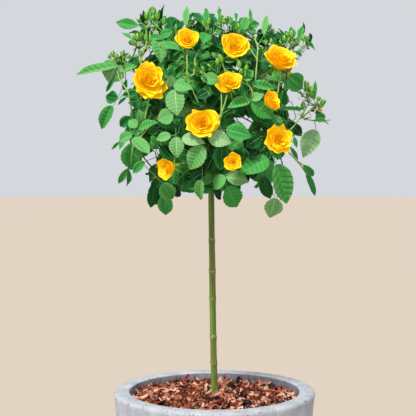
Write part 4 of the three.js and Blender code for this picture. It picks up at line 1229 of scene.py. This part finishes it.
def loose_petal(layer, turned, may_fall, size, opened, key):
    """A petal at its share of a turn round the bloom, the looser the more the bloom has opened."""
    stray = BLOOM["stray"] * layer * (chance(key, 2) - 0.5)
    angle = 2 * math.pi * (turned + layer * BLOOM["spiral"] + stray)
    loose = clamp((opened - BLOOM["tight"]) / BLOOM["loose"], BLOOM["least_loose"], 1)
    spread = opened
    if layer > BLOOM["spread_from"]:
        spread *= 1 + loose * mix(*BLOOM["spread"], chance(key, 6))
    if opened < BLOOM["barely_open"] and layer == 1 and may_fall:
        spread += BLOOM["fallen_spread"]
    size = size * (1 + BLOOM["uneven"] * loose * (chance(key, 7) - 0.5))
    return petal_points(layer, angle, size, spread, key)


def petal_tones(layer, key):
    """A petal's tones: paler from layer to layer and from row to row, partly its own tone and partly
    painted shade deep in the bloom, and palest on its rim, a painted highlight.
    """
    tone = BLOOM["tone"] + BLOOM["layer_tone"] * layer + BLOOM["stray_tone"] * (chance(key, 4) - 0.5)
    row = np.repeat(np.arange(PETAL["rows"] - 1), PETAL["columns"] - 1)
    body = np.clip(tone + BLOOM["row_tone"] * row, 0, BLOOM["top_tone"]).astype(int)
    return np.where(row >= PETAL["rows"] - BLOOM["painted_highlight_rows"], len(PETAL_COLOURS) - 1, body).tolist()


def sepal_angle(key, i):
    return 2 * math.pi * (i / BLOOM["sepals"] + chance(key, i) * BLOOM["sepal_stray"])


def add_bloom(petals, green, tip, number):
    at, opened, way = tip["at"], tip["opened"], tip["way"]
    ways = cross_ways(way)
    faces = grid_faces(PETAL["rows"], PETAL["columns"])
    size = tip["size"] * BLOOM["breadth"] / petal_profile(1, 1, opened, 0)[1].max()
    key = number * BLOOM["keys"]
    for layer, count in PETALS:
        for i in range(count):
            key += 1
            points = loose_petal(layer, i / count, i < BLOOM["fallen"], size, opened, key)
            petals.add(at + points @ np.array([*ways, way]), faces, petal_tones(layer, key))
    foot = at - way * (size * BLOOM["foot"])
    cup = size * BLOOM["cup"]
    line = [foot + way * cup * share for share, _ in CUP_OUTLINE]
    tube(green, line, [cup * radius for _, radius in CUP_OUTLINE], sides=8, kind=CUP)
    for i in range(BLOOM["sepals"]):
        out = around(ways, sepal_angle(number, i), (way, BLOOM["sepal_climb"] - opened))
        add_blade(green, foot, out, way, tip["size"] * BLOOM["sepal_length"],
                  tip["size"] * BLOOM["sepal_breadth"], BLOOM["sepal_curl"], BUD_SKIN)


def add_blade(pile, root, way, face, length, breadth, curl, kind):
    """A narrow pointed blade, such as a sepal or a bract, curling away from its face."""
    side = unit(np.cross(way, face))
    normal = np.cross(side, way)
    rows = np.linspace(0, 1, NARROW["rows"])
    width = breadth / 2 * np.sin(math.pi * (NARROW["foot_phase"] + NARROW["phase"] * rows))
    line = root + rows[:, None] * length * way - (curl * length * rows ** 2)[:, None] * normal
    edge = (width * NARROW["hollow"])[:, None] * normal
    points = np.stack([line - side * width[:, None] + edge, line, line + side * width[:, None] + edge], 1)
    pile.add(points.reshape(-1, 3), grid_faces(NARROW["rows"], 3), kind)


# Buds, in shares of a bud's length: places along it with its radius there, and its sepals and bracts
BUD_OUTLINE = [(-0.5, 0.12), (-0.42, 0.22), (-0.22, 0.31), (0.03, 0.31), (0.26, 0.22), (0.42, 0.11),
               (0.5, 0.02)]
SEPAL_SHAPE = dict(foot=0.44, aside=0.22, lean=(0.12, 0.3), length=(0.75, 1.15), breadth=0.31,
                   curl=(0, 0.22))
BRACT_SHAPE = dict(spin=2.4, first_spin=6, climb=(0.1, 0.9), length=(1.0, 1.7), breadth=0.42, curl=0.2,
                   apart=0.4)
GROUP = dict(stalk_end=0.7, splay=(0.7, 1.2), reach=(0.75, 1.1), size=(0.6, 0.9), stalk=(0.9, 0.8),
             side_stalk=(0.8, 0.7, 0.9), side_keys=3)


def add_bud(green, petals, at, way, length, key):
    """A plump bud held by pointed sepals, some showing yellow at the tip."""
    ways = cross_ways(way)
    line = [at + way * (share * length) for share, _ in BUD_OUTLINE]
    radii = length * np.array([radius for _, radius in BUD_OUTLINE])
    if chance(key, 7) < BUD["showing"]:
        tube(petals, line, radii, sides=9, kind=BUD["petal_tone"])
    else:
        tube(green, line, radii, sides=9, kind=BUD_SKIN)
    for i in range(BLOOM["sepals"]):
        out = around(ways, sepal_angle(key, i))
        root = at - way * (length * SEPAL_SHAPE["foot"]) + out * (length * SEPAL_SHAPE["aside"])
        lean = mix(*SEPAL_SHAPE["lean"], chance(key, i, 3))
        stretch = mix(*SEPAL_SHAPE["length"], chance(key, i, 4) ** 2)
        curl = mix(*SEPAL_SHAPE["curl"], chance(key, i, 5))
        add_blade(green, root, blend((way, 1), (out, lean)), out, length * stretch,
                  length * SEPAL_SHAPE["breadth"], curl, PALE_SEPAL if i % 2 else SEPAL)


def add_bud_group(green, petals, twigs, tip, key):
    """A bud with others beside it on their own stalks, over small dark bracts."""
    size, at, way = tip["size"], tip["at"], tip["way"]
    ways = cross_ways(way)
    foot = at - way * (size * BUD["stalk"])
    tube(twigs, [foot, mix(foot, at, GROUP["stalk_end"])], GROUP["stalk"], sides=5, kind=PALE_TWIG)
    add_bud(green, petals, at, way, size, key)
    for hand in range(tip["side_buds"]):
        sideways = around(ways, (hand + chance(key, hand) / 2) * math.pi)
        spread = math.radians(BUD["splay"]) * mix(*GROUP["splay"], chance(key, hand, 9))
        out = around((way, sideways), spread)
        place = foot + out * (size * BUD["stalk"] * mix(*GROUP["reach"], chance(key, hand, 10)))
        tube(twigs, [foot, (foot + place) / 2, place], GROUP["side_stalk"], sides=5, kind=PALE_TWIG)
        side_size = size * mix(*GROUP["size"], chance(key, hand, 8))
        add_bud(green, petals, place, out, side_size, key * GROUP["side_keys"] + hand)
    for number in range(BUD["bracts"]):
        spin = BRACT_SHAPE["spin"] * number + BRACT_SHAPE["first_spin"] * chance(key, 13)
        bract = around(ways, spin, (way, mix(*BRACT_SHAPE["climb"], chance(key, number, 14))))
        length = size * mix(*BRACT_SHAPE["length"], chance(key, number, 15))
        root = foot - way * (size * BRACT_SHAPE["apart"] * number)
        add_blade(green, root, bract, way, length, length * BRACT_SHAPE["breadth"], BRACT_SHAPE["curl"],
                  BRACT if number % 2 else SEPAL)


# The stem's bark, with joints, scars and lengthwise grooves, and the boughs
def stem_radius(height):
    foot, top = STEM_LINE[0][1], UNION[2]
    flare = max(0, 1 - (height - foot) / STEM["flare"]) ** 2
    nearest = min(abs(height - joint) for joint in JOINTS)
    swell = STEM["swell"] * max(0, 1 - nearest / STEM["span"])
    knob = max(0, 1 - ((height - top) / STEM["union_span"]) ** 2)
    taper = mix(STEM["low"], STEM["high"], clamp((height - foot) / (top - foot), 0, 1))
    return max(taper + (STEM["foot"] - STEM["low"]) * flare + swell, STEM["union"] * math.sqrt(knob))


def stem_middle(height):
    heights = [z for _, z in STEM_LINE]
    return vector(np.interp(height, heights, [x for x, _ in STEM_LINE]), 0, height)


def round_spot(angle, height, across, along):
    """A place for noise that closes up round an axis, with its scales across and along the axis."""
    return Vector((math.cos(angle) * across, math.sin(angle) * across, height * along))


def bark_point(angle, height, radius, joint, streak):
    """How far a point of the bark stands out, and which colour it gets, with a painted highlight on the
    side that faces the sun.
    """
    groove = noise.noise(round_spot(angle, height, *RELIEF["groove_scales"]))
    grain = noise.noise(round_spot(angle, height, *RELIEF["grain_scales"]))
    turned, stray = RELIEF["scar_turn"]
    open_side = math.cos(angle + math.pi * (turned + stray * math.sin(joint))) > RELIEF["scar_side"]
    off_scar = abs(height - joint - RELIEF["scar_slant"] * math.sin(angle + joint))
    brown = math.cos(angle - streak) + RELIEF["brown_groove"] * groove + RELIEF["brown_grain"] * grain
    # The paler green on the side of the bark that faces the sun is a painted highlight
    lit = math.cos(angle - math.radians(RELIEF["lit_side"])) + RELIEF["lit_groove"] * groove
    kind = LIT_BARK if lit > RELIEF["lit"] else BARK
    if brown > RELIEF["brown"]:
        kind = BROWN_BARK
    if open_side and off_scar < RELIEF["scar"] + grain:
        kind = SCAR
    return radius + RELIEF["groove"] * groove + RELIEF["grain"] * grain, kind


def build_stem():
    pile = Pile()
    heights = np.linspace(STEM_LINE[0][1] - STEM["sunk"], UNION[2] + STEM["above_union"], STEM["rows"])
    points, kinds = [], []
    for height in heights:
        middle, radius = stem_middle(height), stem_radius(height)
        joint = min(JOINTS, key=lambda value: abs(height - value))
        turned = math.exp(-((height - STREAK["height"]) / STREAK["span"]) ** 2)
        streak = math.radians(mix(STREAK["bearing"], STREAK["turned"], turned))
        for angle in turns(STEM["sides"]):
            reach, kind = bark_point(angle, height, radius, joint, streak)
            points.append(middle + reach * vector(math.cos(angle), math.sin(angle), 0))
            kinds.append(kind)
    faces = grid_faces(len(heights), STEM["sides"], closed=True)
    pile.add(points, faces, kinds[:len(faces)])
    for index, way in enumerate(WAYS):
        line = np.vstack([UNION + way * BOUGH["sunk"], curve(bough_corners(way), BOUGH["points"])])
        radii = np.linspace(BOUGH["foot_radius"] + BOUGH["swell"], BOUGH["tip_radius"], len(line))
        radii = [radius + BOUGH["uneven"] * (chance(index, i) - 0.5) for i, radius in enumerate(radii)]
        tube(pile, line, radii, sides=14, kind=BARK if index % 2 else DARK_BARK)
    stands_for = ["stem"] + ["bough_" + name for name, _, _ in MASSES]
    piece("stem_bark", pile, plains(STEM_COLOURS, "stem"), stands_for)


# The pot: cast concrete with pits and streaks
def arc(radius, height, bend, *degrees):
    """Points of a rounded edge, from the middle of its bend, at each of the angles."""
    angles = [math.radians(angle) for angle in degrees]
    return [(radius + bend * math.cos(angle), height + bend * math.sin(angle)) for angle in angles]


def pot_profile():
    """The pot's section, from near the middle of its foot, up its side and over the rim to the soil."""
    foot, rim, top, edge, lip = (POT[name] for name in ("foot", "rim", "height", "edge", "lip"))
    inside = rim - POT["wall"]
    side = [(mix(foot, rim, share), top * share) for share in np.linspace(*POT["side"])]
    return [*POT_FOOT, (foot - edge, 0), *arc(foot - edge, edge, edge, -60, -30, 0), *side,
            *arc(rim - edge, top - edge, edge, 0, 22, 45, 67, 90), (rim - POT["wall"] / 2, top),
            *arc(inside + lip, top - lip, lip, 90, 120, 150, 180),
            *((inside - lean, height) for lean, height in POT_INSIDE)]


def concrete(name, light, dark, pit, grain):
    """Cast concrete: cloudy tone, faint streaks that run down, grains, and dark pits with relief."""
    material = bpy.data.materials.new(name)
    material.use_nodes = True
    nodes, links = material.node_tree.nodes, material.node_tree.links
    shader = nodes["Principled BSDF"]
    shader.inputs["Roughness"].default_value = CONCRETE["roughness"]
    shader.inputs["Specular IOR Level"].default_value = CONCRETE["specular"]
    place = nodes.new("ShaderNodeTexCoord")

    def tones(layer, low, high=WHITE):
        """Noise at one layer's scale, turned into tones between two colours."""
        scale, stretch, detail, *stops = CONCRETE[layer]
        mapping = nodes.new("ShaderNodeMapping")
        mapping.inputs["Scale"].default_value = (scale, scale, scale * stretch)
        texture = nodes.new("ShaderNodeTexNoise")
        texture.inputs["Scale"].default_value = 1.0
        texture.inputs["Detail"].default_value = detail
        ramp = nodes.new("ShaderNodeValToRGB")
        for i, (stop, colour) in enumerate(zip(stops, (low, high))):
            ramp.color_ramp.elements[i].position = stop
            ramp.color_ramp.elements[i].color = (*linear(*colour), 1)
        links.new(place.outputs["Object"], mapping.inputs["Vector"])
        links.new(mapping.outputs["Vector"], texture.inputs["Vector"])
        links.new(texture.outputs["Fac"], ramp.inputs["Fac"])
        return ramp.outputs["Color"]

    def darkened(under, over, amount):
        join = nodes.new("ShaderNodeMix")
        join.data_type = "RGBA"
        join.blend_type = "MULTIPLY"
        join.inputs["Factor"].default_value = amount
        links.new(under, join.inputs["A"])
        links.new(over, join.inputs["B"])
        return join.outputs["Result"]

    pits = tones("pits", pit)
    toned = tones("clouds", dark, light)
    layers = (tones("streaks", CONCRETE["streak"]), tones("grains", grain), pits)
    for layer, amount in zip(layers, CONCRETE["amounts"]):
        toned = darkened(toned, layer, amount)
    links.new(toned, shader.inputs["Base Color"])
    bump = nodes.new("ShaderNodeBump")
    bump.inputs["Strength"].default_value = CONCRETE["relief"]
    bump.inputs["Distance"].default_value = CONCRETE["depth"]
    links.new(pits, bump.inputs["Height"])
    links.new(bump.outputs["Normal"], shader.inputs["Normal"])
    return material


def build_pot():
    pile = Pile()
    profile = pot_profile()
    sides = POT["sides"]
    points = []
    for radius, height in profile:
        firm = min(1, height / POT["firm_above"])
        for angle in turns(sides):
            spot = round_spot(angle, height, *POT["cast_scales"])
            rough = noise.noise(spot) + POT["finer"] * noise.noise(spot * POT["finer_scale"])
            reach = radius + POT["uneven"] * rough * firm
            rise = height + POT["uneven_height"] * rough * firm
            points.append((reach * math.cos(angle), reach * math.sin(angle), rise))
    kinds = []
    for radius, height in profile[1:]:
        # Faces of the inner wall below the rim take the darker concrete, painted shade
        within = radius < POT["rim"] - POT["wall"] + POT["inside_margin"]
        inner = within and POT["inside_from"] < height < POT["height"] - POT["below_rim"]
        on_rim = height > POT["height"] - POT["rim_band"]
        kinds += [SHADED_INSIDE if inner else RIM_BAND if on_rim else OUTSIDE] * sides
    pile.add(points, grid_faces(len(profile), sides, closed=True), kinds)
    underside = [[(i + 1) % sides, i, sides] for i in range(sides)]
    pile.add([*points[:sides], (0, 0, 0)], underside, OUTSIDE)
    materials = [concrete("concrete_" + name, *colours) for name, colours in CONCRETE_COLOURS.items()]
    piece("pot_concrete", pile, materials, ["pot"])


# The mulch: a low near-black dome, painted shade in the gaps, under a loose layer of curled bark chips
def dome_height(radius):
    share = clamp((MULCH["radius"] - radius) / (MULCH["radius"] - MULCH["seat"]), 0, 1)
    return mix(MULCH["edge"], MULCH["crest"], math.sin(share * math.pi / 2))


def add_dome(pile):
    sides, rings = MULCH["sides"], MULCH["rings"]
    points = []
    for ring in range(rings + 1):
        radius = mix(MULCH["radius"] + MULCH["past_edge"], MULCH["heart"], ring / rings)
        for i in range(sides):
            angle = 2 * math.pi * i / sides
            x, y = radius * math.cos(angle), radius * math.sin(angle)
            spot = Vector((x * MULCH["bump_scale"], y * MULCH["bump_scale"], 0))
            bumpy = noise.noise(spot) * MULCH["bumps"] * min(1, ring / MULCH["calm_rings"])
            points.append((x, y, dome_height(radius) - MULCH["under"] + bumpy))
    # The dome takes the last, near-black colour: painted shade in the gaps between the chips
    pile.add(points, grid_faces(rings + 1, sides, closed=True), len(MULCH_COLOURS) - 1)


def add_chip(pile, i):
    """A curled chip of bark that lies on the dome, thinner towards both its ends."""
    radius = (MULCH["radius"] - CHIP["from_edge"]) * math.sqrt(chance(i, 31))
    if radius < CHIP["from_stem"]:
        return
    turned = i * math.radians(SPARE["golden"]) + chance(i, 32)
    length = mix(CHIP["shortest"], CHIP["longest"], chance(i, 33) ** CHIP["mostly_short"])
    radius = min(radius, MULCH["radius"] - length / 2)
    breadth = length * mix(*CHIP["breadth"], chance(i, 34))
    thick = mix(*CHIP["thickness"], chance(i, 35))
    way = heading(360 * chance(i, 36), CHIP["slope"] * (chance(i, 37) - 0.5))
    tilt = CHIP["tilt"] * (chance(i, 38) - 0.5)
    level = unit(np.cross(way, UP))
    over_it = np.cross(level, way)
    side = level * math.cos(tilt) + over_it * math.sin(tilt)
    over = over_it * math.cos(tilt) - level * math.sin(tilt)
    at = vector(radius * math.cos(turned), radius * math.sin(turned), 0)
    at[2] = dome_height(radius) + mix(*CHIP["lift"], chance(i, 39))
    curl = mix(*CHIP["curl"], chance(i, 40)) * length
    (least, swell), (start, span) = CHIP["taper"], CHIP["taper_phase"]
    points = []
    for step in range(CHIP["steps"]):
        share = step / (CHIP["steps"] - 1)
        taper = least + swell * math.sin(math.pi * (start + span * share))
        taper *= mix(*CHIP["uneven"], chance(i, 41, step))
        line = at + way * (length * (share - 0.5)) + over * (curl * (2 * share - 1) ** 2)
        points += [line + side * (across * breadth * taper) + over * (up * thick * taper)
                   for across, up in CHIP_SECTION]
    colour = pick(chance(i, 42), CHIP_TONES)
    corners = len(CHIP_SECTION)
    pile.add(points, grid_faces(CHIP["steps"], corners, closed=True), colour)
    ends = [[*range(corners)][::-1], [*range(corners, 2 * corners)]]
    pile.add([*points[:corners], *points[-corners:]], ends, colour)


def build_mulch():
    pile = Pile()
    add_dome(pile)
    for i in range(CHIP["count"]):
        add_chip(pile, i)
    piece("bark_chips", pile, plains(MULCH_COLOURS, "chips"), ["bark_mulch"]).data.shade_flat()


# The crown as a whole
def grow_wood(twigs):
    """All wood that carries things, with its shoots and the places that leaves keep clear of."""
    tips = crown_tips()
    wood, shoots, limbs = [], [], []
    for index, way in enumerate(WAYS):
        stem, own, own_wood = grow_mass(index, tips)
        line = curve(stem, SHOOT["stem_points"])
        radii = np.linspace(BOUGH["tip_radius"], SHOOT["stem"], len(line))
        tube(twigs, line, radii, sides=10, kind=DARK_TWIG)
        limbs += [*line, *curve(bough_corners(way), FIT["bough_points"])]
        wood += own_wood
        shoots += own
    shoots += fine_shoots(wood, [shoot["tip"] for shoot in shoots])
    limbs += [stem_middle(height) for height in range(*FIT["stem_heights"])]
    return wood, shoots, np.array(limbs)


def build_crown():
    twigs, petals, greens = Pile(), Pile(), Pile()
    wood, shoots, limbs = grow_wood(twigs)
    blooms = [shoot["tip"] for shoot in shoots if shoot["tip"]["kind"] == "bloom"]
    leaves = Leaves([(tip["at"], tip["size"] * FIT["bloom_room"]) for tip in blooms], limbs)
    front_stems(twigs, wood)
    front_buds(twigs, greens, petals, wood)
    front_leaflets(leaves, twigs, wood)
    ribs = []
    for number, shoot in enumerate(shoots):
        tip = shoot["tip"]
        if tip["kind"] == "leaf":
            end_leaf(leaves, shoot, ribs)
            continue
        shoot["needed"] = 1
        if tip["kind"] == "bloom":
            add_bloom(petals, greens, tip, number)
        else:
            add_bud_group(greens, petals, twigs, tip, number)
    for shoot in shoots:
        side_leaves(leaves, shoot, ribs)
    for number, shoot in reversed(list(enumerate(shoots))):
        if shoot["needed"] > 0:
            hold(shoot["start"])
            shoot_wood(twigs, shoot, number)
    for plan in ribs:
        line = [mix(plan["base"], plan["end"], share) for share, _ in RIB]
        tube(twigs, line, [radius for _, radius in RIB], sides=5, kind=LEAF_STALK)
    return twigs, petals, greens, leaves.plans


def show_crown():
    twigs, petals, greens, plans = build_crown()
    piece("twigs", twigs, plains(TWIG_COLOURS, "twigs"))
    leaf_colours = {**numbered("leaf", LEAF_COLOURS), **numbered("leaf_vein", VEIN_COLOURS)}
    leaf_materials = plains(leaf_colours, "leaves")
    for name, part, above, up_to in LEAF_PIECES:
        pile = Pile()
        for plan in plans:
            if above < plan["root"][2] <= up_to:
                add_leaflet(pile, plan)
        stands_for = ["foliage_" + mass for mass, _, _ in MASSES if mass.startswith(part)]
        piece(name, pile, leaf_materials, stands_for)
    piece("petals", petals, plains(numbered("petal", PETAL_COLOURS), "petals"))
    piece("buds_and_sepals", greens, plains(GREEN_COLOURS, "greens"))


def set_stage():
    mesh = bpy.data.meshes.new("floor")
    ring = [(FLOOR["reach"] * math.cos(angle), FLOOR["reach"] * math.sin(angle), 0)
            for angle in turns(FLOOR["sides"])]
    mesh.from_pydata(ring, [], [list(range(FLOOR["sides"]))])
    mesh.materials.append(plain("floor", FLOOR["colour"], *LOOKS["floor"]))
    floor = add_object("floor", mesh)
    world = bpy.data.worlds.new("daylight")
    bpy.context.scene.world = world
    world.use_nodes = True
    background = world.node_tree.nodes["Background"]
    background.inputs["Color"].default_value = DAYLIGHT["colour"]
    background.inputs["Strength"].default_value = DAYLIGHT["strength"]
    for name, place, energy, angle in LAMPS:
        light = bpy.data.lights.new(name, "SUN")
        light.energy = energy
        light.angle = math.radians(angle)
        add_object(name, light).rotation_euler = Vector(place).to_track_quat("Z", "Y").to_euler()


def set_camera():
    camera = bpy.data.cameras.new("camera")
    camera.sensor_width = CAMERA["sensor"]
    camera.lens = CAMERA["focus"] / CAMERA["picture"] * CAMERA["sensor"]
    camera.dof.use_dof = False
    view = add_object("camera", camera)
    view.location = CAMERA["place"]
    view.rotation_euler = (math.pi / 2 - PITCH, 0, 0)
    bpy.context.scene.camera = view
    bpy.context.scene.view_settings.view_transform = "Standard"


build_pot()
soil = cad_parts["soil"]
soil.data.materials.clear()
soil.data.materials.append(plain("potting_soil", SOIL_COLOUR, *LOOKS["soil"]))
build_mulch()
build_stem()
show_crown()
set_stage()
set_camera()
